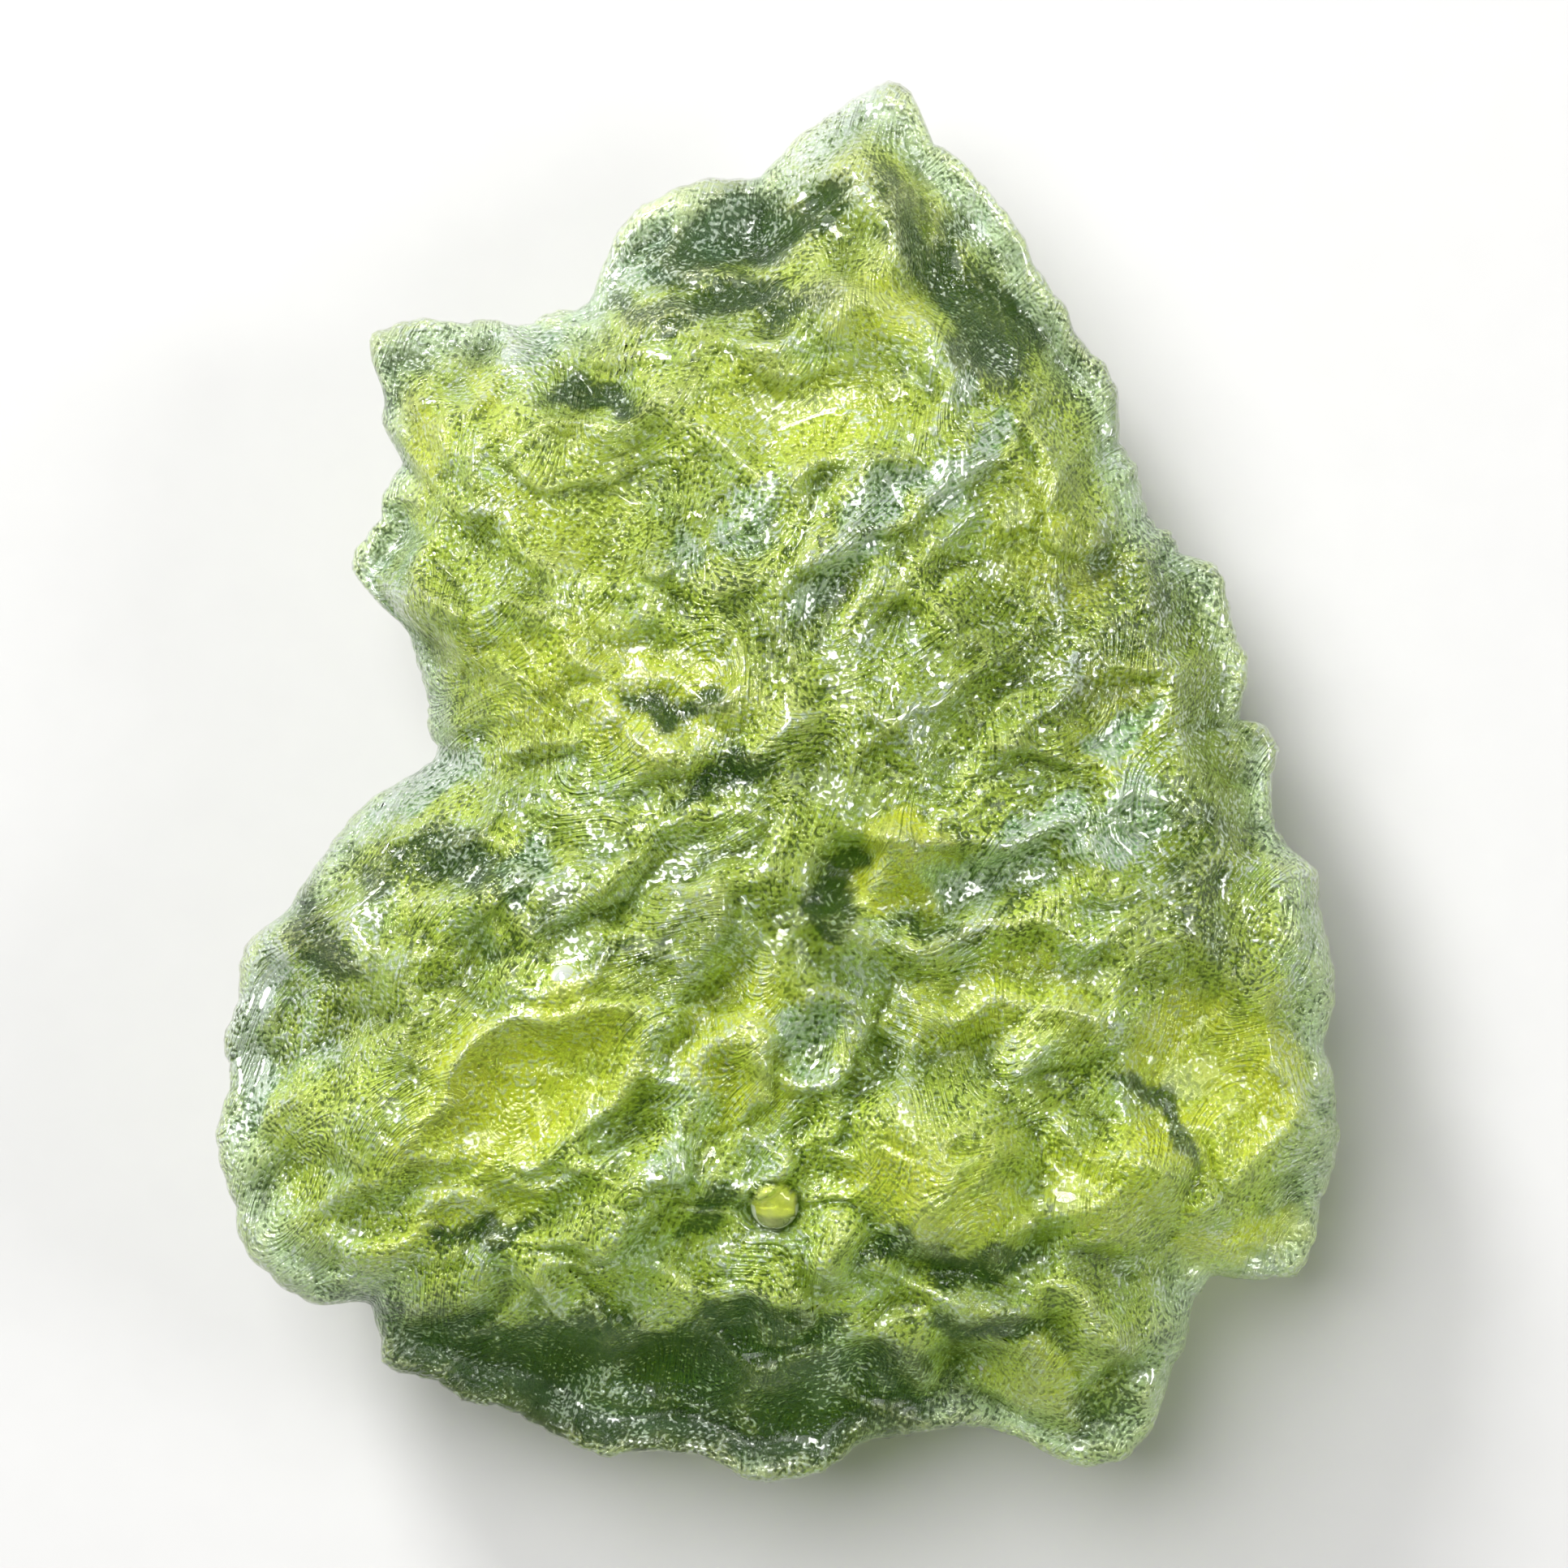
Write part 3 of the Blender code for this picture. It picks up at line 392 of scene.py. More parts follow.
def within(x, y, hollow):  # 0 in the middle of a pit or lump, 1 on its outline
    across, along, length, width, turn, _ = hollow
    c = math.cos(math.radians(turn))
    s = math.sin(math.radians(turn))
    u = ((x - across) * c + (y - along) * s) / length
    v = ((y - along) * c - (x - across) * s) / width
    return u * u + v * v


def pitted(x, y, pits):  # the deepest pit at each point, which leaves a sharp ridge where two meet
    deep = np.zeros_like(x)
    for pit in pits:
        deep = np.maximum(deep, pit[-1] * (1 - within(x, y, pit)))
    return deep


def washed(x, y, patches, edge=1.5, softness=1.2):  # soft-edged patches
    strong = np.zeros_like(x)
    for patch in patches:
        strong = np.maximum(strong, patch[-1] * ease((edge - within(x, y, patch)) / softness))
    return strong


def tongued(x, y, these):  # each ramps up along its length and drops at its edge
    high = np.zeros_like(x)
    for tongue in these:
        across, along, length, _, turn, height = tongue
        c = math.cos(math.radians(turn))
        s = math.sin(math.radians(turn))
        ramp = 0.5 + 0.5 * ((x - across) * c + (y - along) * s) / length
        cliff = ease((1 - within(x, y, tongue)) / stone["cliffWidth"])
        high = np.maximum(high, height * ramp * cliff)
    return high


def swirled(x, y, swirls):  # each place moved to and fro, so that nothing keeps an even outline
    for far, often in swirls:
        across = far * np.sin(often * y + 0.7 + 1.1 * np.sin(0.6 * often * x))
        along = far * np.sin(0.9 * often * x + 2.1 + 1.3 * np.sin(0.7 * often * y))
        x = x + across
        y = y + along
    return x, y


def creased(x, y):  # the deepest crease at each point
    deep = np.zeros_like(x)
    for points, width, depth in creases:
        for (ax, ay), (bx, by) in zip(points, points[1:]):
            run = (bx - ax) ** 2 + (by - ay) ** 2
            t = np.clip(((x - ax) * (bx - ax) + (y - ay) * (by - ay)) / run, 0, 1)
            away = np.hypot(x - ax - t * (bx - ax), y - ay - t * (by - ay))
            deep = np.maximum(deep, depth * ease(1 - away / width))
    return deep


def strewnPits(count, size, depth, seed, offPlace=0.12, offTurn=20):  # on a sunflower spiral
    chance = np.random.default_rng(seed)
    even, reach, _ = rimReaches()
    golden = math.pi * (3 - math.sqrt(5))
    pits = []
    for n in range(count):
        angle = (n * golden + chance.normal(0, offPlace) + math.pi) % (2 * math.pi) - math.pi
        share = math.sqrt((n + 0.5) / count)
        far = share * np.interp(angle, even, reach, period=2 * math.pi)
        x = stone["heart"][0] + far * math.cos(angle)
        y = stone["heart"][1] + far * math.sin(angle)
        width = chance.uniform(*size)
        away = math.atan2(y - stone["flowCentre"][1], x - stone["flowCentre"][0])
        turn = math.degrees(away) + chance.normal(0, offTurn)
        pits.append((x, y, width * stone["drawnOut"], width, turn, chance.uniform(*depth)))
    return pits


def coordinates(mesh):
    points = np.empty(len(mesh.vertices) * 3, np.float32)
    mesh.vertices.foreach_get("co", points)
    return points.reshape(-1, 3).astype(float)


def keepOn(mesh, name, kind, values):  # stores values on the mesh's points for the materials
    layer = mesh.attributes.new(name, kind, "POINT")
    field = "vector" if kind == "FLOAT_VECTOR" else "value"
    layer.data.foreach_set(field, np.asarray(values, np.float32).ravel())


def storedOn(mesh, name):
    values = np.empty(len(mesh.vertices), np.float32)
    mesh.attributes[name].data.foreach_get("value", values)
    return values.astype(float)


def spreadOut(share, angle):  # places on the plan, by their share of the way out to the rim
    even, reach, soft = rimReaches()
    fades = stone["rimFades"]
    jagged = np.interp(angle, even, reach, period=2 * math.pi)
    inner = np.interp(angle, even, soft, period=2 * math.pi)
    far = share * (inner + (jagged - inner) * share ** fades["jags"])
    nicks = stone["nicks"]
    wave = nicks["many"] * angle + nicks["drift"] * np.sin(nicks["drifts"] * angle)
    far = far + nicks["out"] * (np.abs(np.sin(wave)) - nicks["in"]) * share ** fades["nicks"]
    return stone["heart"][0] + far * np.cos(angle), stone["heart"][1] + far * np.sin(angle)


def aroundBubble(x, y):  # distance from the first bubble, and how far below its middle, in radii
    across, along, _, radius = bubbles[0]
    return np.hypot(x - across, y - along) / radius, (along - y) / radius


def plainOver(fromBubble):  # 1 where the glass over the bubble is plain
    reach, soft = bubbleDome["plain"]
    return ease((reach - fromBubble) / soft)


def frontHeight(x, y, rim, lens, inside, nearRim):  # in mm, as the back's
    atX, atY = swirled(x, y, stone["swirls"])
    pits = (spirePits + shoulderPits + upperBasinPits + waistPits + lowerLeftPits
            + lowerRightPits + lowerEdgePits)
    deep = np.maximum(pitted(atX, atY, pits), pitted(atX, atY, strewnPits(**stone["frontSpeckle"])))
    deep = np.maximum(deep, creased(atX, atY)) + pitted(atX, atY, skirtHollows)
    high = np.maximum(pitted(atX, atY, lumps), tongued(atX, atY, tongues))
    fineX, fineY = swirled(atX, atY, stone["fineSwirl"])
    fine = tongued(fineX, fineY, strewnPits(**stone["fineTongues"]))
    fromBubble, _ = aroundBubble(x, y)
    dome = bubbleDome["height"] * np.sqrt(np.clip(1 - fromBubble**2, 0, 1))
    place, halfWidth = bubbleDome["groove"]
    groove = bubbleDome["height"] * ease(1 - np.abs(fromBubble - place) / halfWidth)
    etching = inside * (deep - high)
    front = rim + stone["frontRise"] * lens - etching - nearRim * fine * (1 - plainOver(fromBubble))
    return front + dome - groove


def backHeight(x, y, rim, lens, inside, nearRim):
    atX, atY = swirled(x, y, stone["swirls"])
    fineX, fineY = swirled(atX, atY, stone["fineSwirl"])
    aroundFlat = np.hypot(x - stone["flatSpot"][0], y - stone["flatSpot"][1]) / stone["flatReach"]
    start, soft = stone["flatEdge"]
    offFlat = ease((aroundFlat - start) / soft)
    deep = pitted(x, y, strewnPits(**stone["backSpeckle"])) * inside
    fine = pitted(fineX, fineY, strewnPits(**stone["fineBack"])) * nearRim
    back = rim * (1 - lens) + (stone["rimHeight"] - stone["backDrop"]) * lens
    etching = deep * (stone["flatEtch"] + (1 - stone["flatEtch"]) * offFlat) + fine
    return np.maximum(back, 0) + etching


def wandering(x, y):  # slow waves that turn the flow lines, each out of step with the others
    return np.sin(x * 0.9 + 1.3) * np.cos(y * 0.7) + 0.6 * np.sin(x * 1.7 - y * 1.1)


def drifted(x, y):  # places moved a little, so that the patches' edges aren't even
    driftX = x + 0.25 * np.sin(y * 2.3 + 1.0) + 0.12 * np.sin(y * 5.1 + x * 3.7)
    driftY = y + 0.25 * np.sin(x * 2.1 + 0.4) + 0.12 * np.sin(x * 5.9 - y * 3.1)
    return driftX, driftY


def keepFlow(mesh, x, y):  # long in the direction of the flow lines and close across them
    aside = x - stone["flowCentre"][0]
    ahead = y - stone["flowCentre"][1]
    turned = np.arctan2(ahead, aside) + stone["swirl"] * wandering(x, y)
    lines = stone["flowLines"]
    flow = np.stack([lines * np.cos(turned), lines * np.sin(turned), np.hypot(aside, ahead)], axis=1)
    keepOn(mesh, "flow", "FLOAT_VECTOR", flow)


def keepPatches(mesh, x, y, onFront):  # the patches of painted sheen, painted shade, golden glow and olive, and the first bubble's painted shadow and dark ring
    driftX, driftY = drifted(x, y)
    fromBubble, lowDown = aroundBubble(x, y)
    clear = plainOver(fromBubble)
    start, soft, strength = bubbleDome["shadow"]
    shadow = strength * ease((lowDown - start) / soft)
    shadow = shadow * ease((1.0 - fromBubble) / bubbleDome["shadowRim"])
    place, halfWidth, strength = bubbleDome["ring"]
    ring = strength * ease(1 - np.abs(fromBubble - place) / halfWidth)
    # over the bubble: painted shade in its shadow and ring, and golden glass with painted glow
    overBubble = {"dark": np.maximum(shadow, ring), "goldAndGlow": clear}
    for name, patches, seed in patchKinds:
        ahead = washed(driftX, driftY, patches)
        behind = washed(driftX, driftY, strewnPits(**backPatches, seed=seed))
        if name in ("paintedSheen", "dark"):
            ahead = ahead * (1 - clear)
        if name in overBubble:
            ahead = np.maximum(ahead, overBubble[name])
        shown = np.where(onFront, ahead, behind)
        keepOn(mesh, name, "FLOAT", shown)
        if name == "goldAndGlow":  # less etched there, and not at all on the bubble
            etched = (1 - clear * onFront) * (1 - stone["goldAndGlowCalm"] * np.clip(shown, 0, 1))
            keepOn(mesh, "etched", "FLOAT", etched)


def keepClouds(mesh, x, y, z):  # soft noise all through the stone
    clouds = stone["clouds"]
    places = np.stack([x, y, z], axis=1) * clouds["perMm"]
    values = [noise.fractal(place, clouds["roughness"], clouds["step"], clouds["octaves"])
              for place in places]
    keepOn(mesh, "clouds", "FLOAT", 0.5 + clouds["spread"] * np.array(values))


def shapeStone(mesh):
    ball = coordinates(mesh)
    up = ball[:, 2] / np.linalg.norm(ball, axis=1)
    angle = np.arctan2(ball[:, 1], ball[:, 0])
    share = np.sqrt(np.clip(1 - np.abs(up), 0, 1))  # 0 at the heart, 1 on the rim
    x, y = spreadOut(share, angle)

    sway = sum(high * np.sin(waves * angle + start) for waves, start, high in stone["rimSways"])
    rim = stone["rimHeight"] + sway * share ** stone["rimFades"]["sways"]
    lens = np.clip(1 - share ** stone["crownFlatness"], 0, 1) ** stone["edgeCurve"]
    inside = ease((1 - share) / stone["rimBand"])
    nearRim = ease((1 - share) / stone["fineRimBand"])
    front = frontHeight(x, y, rim, lens, inside, nearRim)
    back = backHeight(x, y, rim, lens, inside, nearRim)
    z = np.where(up >= 0, front, back)
    mesh.vertices.foreach_set("co", (np.stack([x, y, z], axis=1) * mm).astype(np.float32).ravel())
    print("stone shaped")

    keepFlow(mesh, x, y)
    keepPatches(mesh, x, y, up >= 0)
    keepOn(mesh, "edge", "FLOAT", share)
    keepClouds(mesh, x, y, z)
    mesh.update()
    print("patches and clouds laid out")


def fitToBox(mesh):  # the stone takes exactly the CAD stone's box
    points = coordinates(mesh)
    low = points.min(axis=0)
    high = points.max(axis=0)
    boxLow, boxHigh = (np.array(corner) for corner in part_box("moldavite"))
    points = boxLow + (points - low) / (high - low) * (boxHigh - boxLow)
    mesh.vertices.foreach_set("co", points.astype(np.float32).ravel())
    mesh.update()


def readRelief(mesh):  # how far each point stands proud of the stone smoothed a little and a lot
    normals = np.empty(len(mesh.vertices) * 3, np.float32)
    mesh.vertex_normals.foreach_get("vector", normals)
    normals = normals.reshape(-1, 3)
    points = coordinates(mesh)
    soft = bmesh.new()
    soft.from_mesh(mesh)
    for name in ("crisp", "relief", "broad"):  # each goes on from the one before
        for _ in range(stone[name + "Passes"]):
            bmesh.ops.smooth_vert(soft, verts=soft.verts, factor=0.5, use_axis_x=True,
                                  use_axis_y=True, use_axis_z=True)
        smoothed = np.array([vert.co for vert in soft.verts])
        keepOn(mesh, name, "FLOAT", ((points - smoothed) * normals).sum(axis=1) / mm)
    soft.free()
    print("relief read")


tints = {  # red, green, blue
    "body": (0.76, 0.93, 0.12),
    "cool": (0.55, 0.78, 0.22),
    # paler towards the rim: partly its frosted skin, partly painted glow of the thin edge
    "rim": (0.78, 0.98, 0.72),
    # golden: partly the glass's deeper yellow, partly painted glow of light passing through it
    "goldAndGlow": (0.93, 1.0, 0.06),
    # olive: partly the glass's own darker tone, partly painted shade on the side away from the light
    "oliveAndShade": (0.47, 0.6, 0.06),
    # painted shade, over the dark patches and the bubble's shadow and ring
    "shade": (0.02, 0.06, 0.035),
    # painted sheen: a blue-grey reflection laid over the sheen patches
    "paintedSheenBlue": (0.32, 0.62, 0.42),
    # painted shade in the hollows
    "hollow": (0.05, 0.09, 0.01),
    # painted highlight on the ridges
    "ridge": (0.95, 1.0, 0.4),
}

tinting = {
    "cool": (0.45, 0.3),  # where it starts in the clouds, and over how much
    "rim": (0.88, 0.1),  # the same, on the way to the rim
    "rimGlowAgain": (0.9, 0.08, 0.6),  # the rim's pale tint once more, over the patches, as painted glow of the thin edge, with a share
    "broken": (0.35, 0.95, 0.3, 0.35),  # least share, further share, and the clouds it goes by
    "ragged": (1.2, 0.2, 0.55, 4),  # pull of the clouds, threshold, softness, rise at the edge
    # shares of painted shade, then of painted sheen
    "shade": 0.92,
    "paintedSheenBlue": 0.75,
    # painted shade in the hollows and painted highlight on the ridges
    "hollow": 0.34,
    "ridge": 0.2,
    "goldAndGlowCalm": 0.85,  # how much less painted shade the hollows get where the glass is golden and painted glowing
    # Each relief's name, mm where its painted shade and painted highlight start and are full, and strength
    "reliefs": [("broad", 0.0, 0.3, 1.9), ("relief", 0.015, 0.1, 0.8), ("crisp", 0.004, 0.03, 1.0)],
    "clearTint": (1.0, 1.0, 1.0),  # on the bubbles' own skin
}
thickness = {  # of the flecks' layer: what is added to the noise before it is cut into flecks
    "plain": 0.1,
    "clouds": 0.32,
    # more flecks on the crisp ridges, and so more painted glints there
    "ridges": (0.05, 0.008, 0.022),  # most, where it starts in mm, over how much
    # a thinner layer in the painted shade: fewer glints, more dark flecks
    "dark": 0.05,
}


def laidOver(colour, name, share):  # a tint laid over the colours, by a share at each point
    return colour + (np.array(tints[name]) - colour) * np.clip(share, 0, 1)[:, None]


def ragged(mask, clouds):  # a patch whose edge follows the clouds
    pull, threshold, softness, rise = tinting["ragged"]
    return ease((mask + pull * (clouds - 0.5) - threshold) / softness) * np.clip(rise * mask, 0, 1)


def tintStone(mesh):  # soft patches first, then painted shade in the hollows and painted highlights on the ridges, then how thick the flecks are
    clouds = storedOn(mesh, "clouds")
    edge = storedOn(mesh, "edge")
    dark = storedOn(mesh, "dark")
    goldAndGlow = storedOn(mesh, "goldAndGlow")
    least, further, start, over = tinting["broken"]
    broken = least + further * np.clip((clouds - start) / over, 0, 1)
    colour = np.tile(np.array(tints["body"]), (len(clouds), 1))
    start, over = tinting["cool"]
    colour = laidOver(colour, "cool", (clouds - start) / over)
    start, over = tinting["rim"]
    colour = laidOver(colour, "rim", (edge - start) / over)
    colour = laidOver(colour, "oliveAndShade", storedOn(mesh, "oliveAndShade") * broken)
    colour = laidOver(colour, "goldAndGlow", goldAndGlow * broken)
    # painted shade, then painted sheen, each with a ragged edge
    colour = laidOver(colour, "shade", tinting["shade"] * ragged(dark, clouds))
    colour = laidOver(colour, "paintedSheenBlue", tinting["paintedSheenBlue"] * ragged(storedOn(mesh, "paintedSheen"), clouds))
    # the rim's pale tint once more as painted glow of the thin edge, though not over the painted shade
    start, over, strength = tinting["rimGlowAgain"]
    bare = 1 - np.clip(dark, 0, 1)
    colour = laidOver(colour, "rim", strength * bare * (edge - start) / over)

    # painted shade in the hollows and painted highlight on the ridges, with less shade where the glass
    # glows golden
    hollowShade = tinting["hollow"] * (1 - tinting["goldAndGlowCalm"] * np.clip(goldAndGlow, 0, 1))
    for name, low, high, much in tinting["reliefs"]:
        proud = storedOn(mesh, name)
        sunk = np.clip((-proud - low) / (high - low), 0, 1)
        raised = np.clip((proud - low) / (high - low), 0, 1)
        colour = laidOver(colour, "hollow", much * hollowShade * sunk)
        colour = laidOver(colour, "ridge", tinting["ridge"] * much * raised)
    keepOn(mesh, "tint", "FLOAT_VECTOR", colour)

    # thicker on the crisp ridges for painted glints, thinner in the painted shade
    most, start, over = thickness["ridges"]
    ridges = most * np.clip((storedOn(mesh, "crisp") - start) / over, 0, 1)
    thicker = thickness["plain"] + thickness["clouds"] * (clouds - 0.5) + ridges
    keepOn(mesh, "thicker", "FLOAT", thicker - thickness["dark"] * np.clip(dark, 0, 1))
    print("stone tinted")


def surfaceNear(mesh, x, y):  # the front's height at a place, in mm
    points = coordinates(mesh) / mm
    points = points[points[:, 2] > stone["rimHeight"]]
    return points[np.argmin(np.hypot(points[:, 0] - x, points[:, 1] - y)), 2]


def cornerCode(item, many):  # one number for each face or edge, from its lowest corners
    code = 0
    for index in sorted(vert.index for vert in item.verts)[:3]:
        code = code * many + index
    return code


def addBubbles(mesh):  # small closed hollows inside the stone's own mesh
    body = bmesh.new()
    body.from_mesh(mesh)
    for x, y, under, radius in bubbles:
        top = surfaceNear(mesh, x, y)
        made = bmesh.ops.create_uvsphere(body, u_segments=24, v_segments=16, radius=radius * mm)
        place = (x * mm, y * mm, (top - under) * mm)
        bmesh.ops.translate(body, verts=made["verts"], vec=place)
        faces = list({face for vert in made["verts"] for face in vert.link_faces})
        bmesh.ops.reverse_faces(body, faces=faces)  # a hollow's faces point into it
    for face in body.faces:
        face.smooth = True
    # A sphere's faces come in another order in each run, so the bubbles' are put in order by their corners
    body.verts.index_update()
    many = len(body.verts)
    for items, own in ((body.edges, len(mesh.edges)), (body.faces, len(mesh.polygons))):
        items.index_update()
        items.sort(key=lambda item: item.index if item.index < own else cornerCode(item, many))
    body.verts.ensure_lookup_table()
    tint = body.verts.layers.float_vector["tint"]
    thicker = body.verts.layers.float["thicker"]
    for vert in body.verts[len(mesh.vertices):]:
        vert[tint] = tinting["clearTint"]
        vert[thicker] = thickness["plain"]
    body.to_mesh(mesh)
    body.free()


def makeStone():
    sphere = bmesh.new()
    bmesh.ops.create_cube(sphere, size=2.0)
    bmesh.ops.subdivide_edges(sphere, edges=sphere.edges, cuts=stone["cuts"], use_grid_fill=True)
    mesh = bpy.data.meshes.new("moldaviteStone")
    sphere.to_mesh(mesh)
    sphere.free()
    shapeStone(mesh)
    fitToBox(mesh)
    readRelief(mesh)
    tintStone(mesh)
    addBubbles(mesh)
    piece = bpy.data.objects.new("moldaviteStone", mesh)
    bpy.context.scene.collection.objects.link(piece)
    return piece


glass = {
    "ior": 1.49,
    "transmission": 0.75,
    "coatIor": 1.75,
    "coatRoughness": 0.04,
    "coatLeast": 0.1,
    "absorbColour": (0.76, 0.93, 0.04, 1.0),
    "absorbDensity": 90.0,
    # painted glints, then dark flecks that are partly grain and partly painted shade in fine creases
    "paintedSheenTint": (0.9, 1.0, 0.95, 1.0),
    "darkTint": (0.03, 0.07, 0.02, 1.0),
    "paintedSheenFlecks": (0.56, 0.64, 0.13),  # none below the first, all above the next, pull of the patches
    "darkFlecks": (0.44, 0.36, -0.1),  # the other way round: none above the first
    "fleckStrength": 0.85,
    "grainScale": 11000.0,
    "grainShare": 0.55,
    "lineDetail": 1.0,
    "lineShare": 0.25,
    "lineRange": (0.35, 0.65),  # over which the glass goes from smooth to frosted
    "smooth": 0.09,
    "frosted": 0.2,
    "lineDepth": 0.16,  # mm, as the next one
    "grainDepth": 0.09,
}


def link(tree, source, target):
    tree.links.new(source, target)


def noiseOn(tree, vector, scale, detail):
    node = tree.nodes.new("ShaderNodeTexNoise")
    node.inputs["Scale"].default_value = scale
    node.inputs["Detail"].default_value = detail
    link(tree, vector, node.inputs["Vector"])
    return node.outputs["Fac"]


def remapped(tree, source, low, high, toLow, toHigh):
    node = tree.nodes.new("ShaderNodeMapRange")
    node.inputs["From Min"].default_value = low
    node.inputs["From Max"].default_value = high
    node.inputs["To Min"].default_value = toLow
    node.inputs["To Max"].default_value = toHigh
    link(tree, source, node.inputs["Value"])
    return node.outputs["Result"]


def combined(tree, operation, first, second):
    node = tree.nodes.new("ShaderNodeMath")
    node.operation = operation
    for socket, value in zip(node.inputs, (first, second)):
        if isinstance(value, float):
            socket.default_value = value
        else:
            link(tree, value, socket)
    return node.outputs["Value"]


def mixedIn(tree, under, over, factor):  # a colour laid over another by a mask
    node = tree.nodes.new("ShaderNodeMix")
    node.data_type = "RGBA"
    if isinstance(under, tuple):
        node.inputs["A"].default_value = under
    else:
        link(tree, under, node.inputs["A"])
    node.inputs["B"].default_value = over
    link(tree, factor, node.inputs["Factor"])
    return node.outputs["Result"]


def kept(tree, name, output="Fac"):  # what was stored on the stone's points
    node = tree.nodes.new("ShaderNodeAttribute")
    node.attribute_name = name
    return node.outputs[output]


def glassMaterial():
    material = bpy.data.materials.new("moldaviteGlass")
    material.use_nodes = True
    tree = material.node_tree
    shader = tree.nodes["Principled BSDF"]
    output = tree.nodes["Material Output"]
    shader.inputs["IOR"].default_value = glass["ior"]
    shader.inputs["Transmission Weight"].default_value = glass["transmission"]
    shader.inputs["Metallic"].default_value = 0.0
    place = tree.nodes.new("ShaderNodeTexCoord").outputs["Object"]
    lines = noiseOn(tree, kept(tree, "flow", "Vector"), 1.0, glass["lineDetail"])
    grain = noiseOn(tree, place, glass["grainScale"], 0.0)

    # Painted glints, and dark flecks that are partly grain and partly painted shade in fine creases, drawn
    # out along the flow lines and thicker on the ridges
    stipple = combined(tree, "ADD", combined(tree, "MULTIPLY", grain, glass["grainShare"]),
                       combined(tree, "MULTIPLY", lines, glass["lineShare"]))
    stipple = combined(tree, "ADD", stipple, kept(tree, "thicker"))
    colour = kept(tree, "tint", "Color")
    flecks = {}
    for name in ("dark", "paintedSheen"):
        least, most, pull = glass[name + "Flecks"]
        share = combined(tree, "MULTIPLY", kept(tree, name), pull)
        sharp = remapped(tree, combined(tree, "ADD", stipple, share), least, most,
                         0.0, glass["fleckStrength"])
        flecks[name] = combined(tree, "MULTIPLY", sharp, kept(tree, "etched"))
        colour = mixedIn(tree, colour, glass[name + "Tint"], flecks[name])
    link(tree, colour, shader.inputs["Base Color"])

    shader.inputs["Coat IOR"].default_value = glass["coatIor"]
    shader.inputs["Coat Roughness"].default_value = glass["coatRoughness"]
    gloss = remapped(tree, flecks["paintedSheen"], 0.0, glass["fleckStrength"], glass["coatLeast"], 1.0)
    link(tree, gloss, shader.inputs["Coat Weight"])

    # Satin where the etching is fine, clearer elsewhere
    low, high = glass["lineRange"]
    satin = remapped(tree, lines, low, high, glass["smooth"], glass["frosted"])
    link(tree, satin, shader.inputs["Roughness"])

    bump = tree.nodes.new("ShaderNodeBump")
    bump.inputs["Strength"].default_value = 1.0
    bump.inputs["Distance"].default_value = mm
    height = combined(tree, "ADD", combined(tree, "MULTIPLY", lines, glass["lineDepth"]),
                      combined(tree, "MULTIPLY", grain, glass["grainDepth"]))
    height = combined(tree, "MULTIPLY", height, kept(tree, "etched"))
    link(tree, height, bump.inputs["Height"])
    link(tree, bump.outputs["Normal"], shader.inputs["Normal"])

    inside = tree.nodes.new("ShaderNodeVolumeAbsorption")
    inside.inputs["Color"].default_value = glass["absorbColour"]
    inside.inputs["Density"].default_value = glass["absorbDensity"]
    link(tree, inside.outputs["Volume"], output.inputs["Volume"])
    return material


moldavite = makeStone()
moldavite.data.materials.append(glassMaterial())
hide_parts("moldavite")
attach(moldavite, "root")
print("stone made:", len(moldavite.data.polygons), "faces")

studio = {
    "floorColour": (0.405, 0.402, 0.396, 1.0),
    "floorShade": (0.39, 0.387, 0.381, 1.0),
    "floorRoughness": 0.85,
    "fibreScale": 900.0,
    "fibreDetail": 4.0,
    "floorSize": 1.2,
    "floorGap": 0.02,  # mm, so that the glass and the floor don't share one plane
    "worldColour": (0.9, 0.95, 1.0, 1.0),
    "worldStrength": 0.1,
    "softBox": {"place": (-0.17, 0.17, 0.38), "size": 0.36, "power": 3.55},
    "keyLight": {"place": (-0.14, 0.24, 0.16), "size": 0.08, "power": 1.48},
    "fillLight": {"place": (0.3, 0.0, 0.2), "size": 0.16, "power": 0.75},
    "lens": 100.0,
    "sensor": 36.0,
    "clipStart": 0.001,
    "frameWidth": 33.54,  # mm across the photograph at the rim
    "aim": (0.04, -0.07),
}


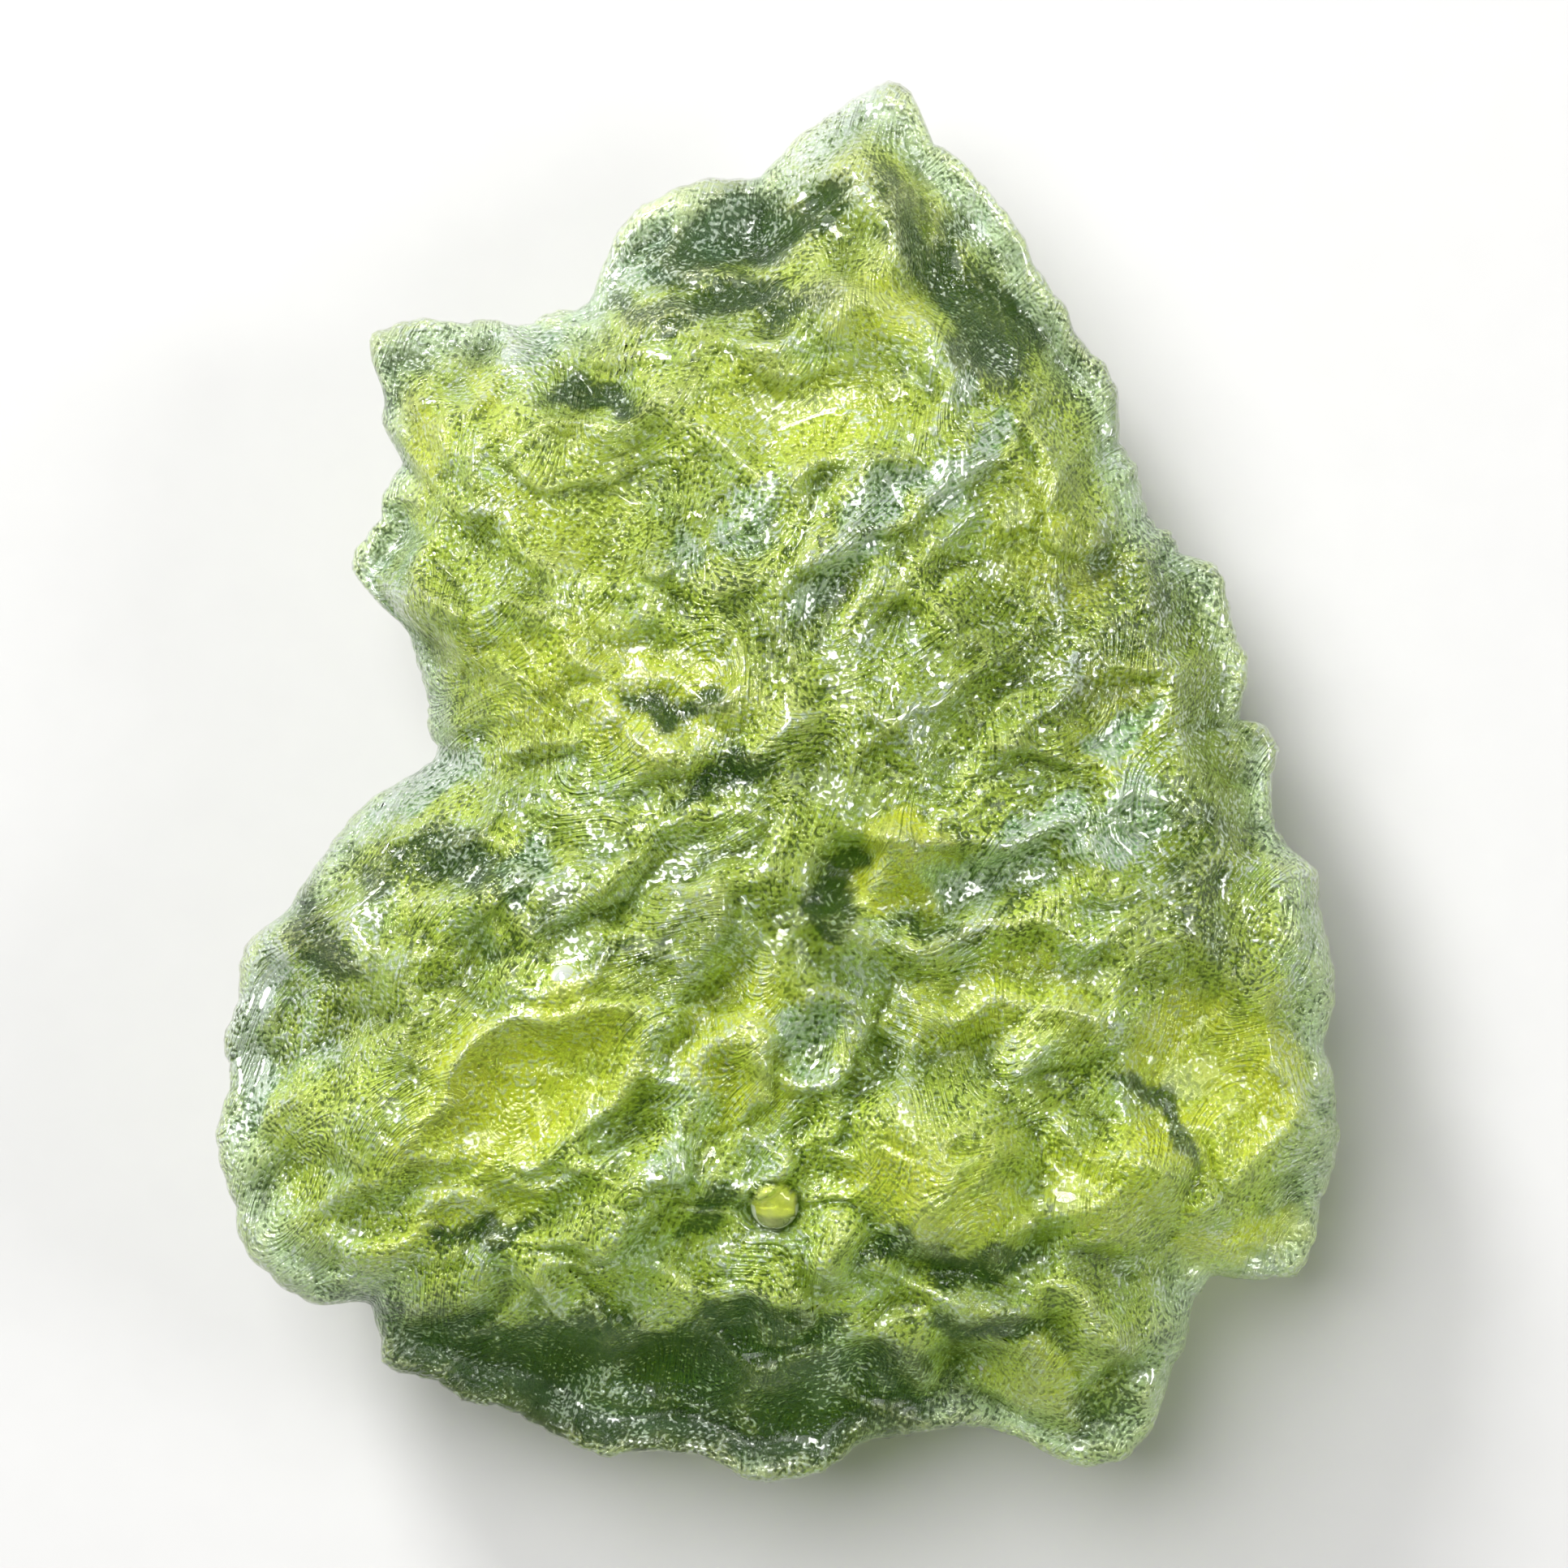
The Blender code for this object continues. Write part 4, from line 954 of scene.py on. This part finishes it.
def makeFloor():
    sheet = bmesh.new()
    bmesh.ops.create_grid(sheet, x_segments=2, y_segments=2, size=studio["floorSize"] / 2)
    mesh = bpy.data.meshes.new("floor")
    sheet.to_mesh(mesh)
    sheet.free()
    for vert in mesh.vertices:
        vert.co.z = -studio["floorGap"] * mm
    floor = bpy.data.objects.new("floor", mesh)
    bpy.context.scene.collection.objects.link(floor)
    material = bpy.data.materials.new("paleFloor")
    material.use_nodes = True
    tree = material.node_tree
    shader = tree.nodes["Principled BSDF"]
    shader.inputs["Roughness"].default_value = studio["floorRoughness"]
    place = tree.nodes.new("ShaderNodeTexCoord")
    fibre = noiseOn(tree, place.outputs["Object"], studio["fibreScale"], studio["fibreDetail"])
    tone = mixedIn(tree, studio["floorColour"], studio["floorShade"], fibre)
    link(tree, tone, shader.inputs["Base Color"])
    mesh.materials.append(material)


def makeLight(name, place, size, power):  # a round lamp that looks at the stone
    lamp = bpy.data.lights.new(name, "AREA")
    lamp.shape = "DISK"
    lamp.size = size
    lamp.energy = power
    light = bpy.data.objects.new(name, lamp)
    light.location = place
    aim = -np.array(place)
    flat = math.hypot(aim[0], aim[1])
    light.rotation_euler = (math.atan2(flat, -aim[2]), 0, math.atan2(-aim[0], aim[1]))
    bpy.context.scene.collection.objects.link(light)


def makeCamera():
    lens = bpy.data.cameras.new("camera")
    lens.lens = studio["lens"]
    lens.sensor_width = studio["sensor"]
    lens.clip_start = studio["clipStart"]
    camera = bpy.data.objects.new("camera", lens)
    away = studio["lens"] / studio["sensor"] * studio["frameWidth"]
    x, y = studio["aim"]
    camera.location = (x * mm, y * mm, (stone["rimHeight"] + away) * mm)
    bpy.context.scene.collection.objects.link(camera)
    bpy.context.scene.camera = camera


def makeWorld():
    world = bpy.data.worlds.new("studio")
    world.use_nodes = True
    background = world.node_tree.nodes["Background"]
    background.inputs["Color"].default_value = studio["worldColour"]
    background.inputs["Strength"].default_value = studio["worldStrength"]
    bpy.context.scene.world = world
    bpy.context.scene.view_settings.view_transform = "Standard"


makeFloor()
for name in ("softBox", "keyLight", "fillLight"):
    makeLight(name, **studio[name])
makeCamera()
makeWorld()
print("studio ready")
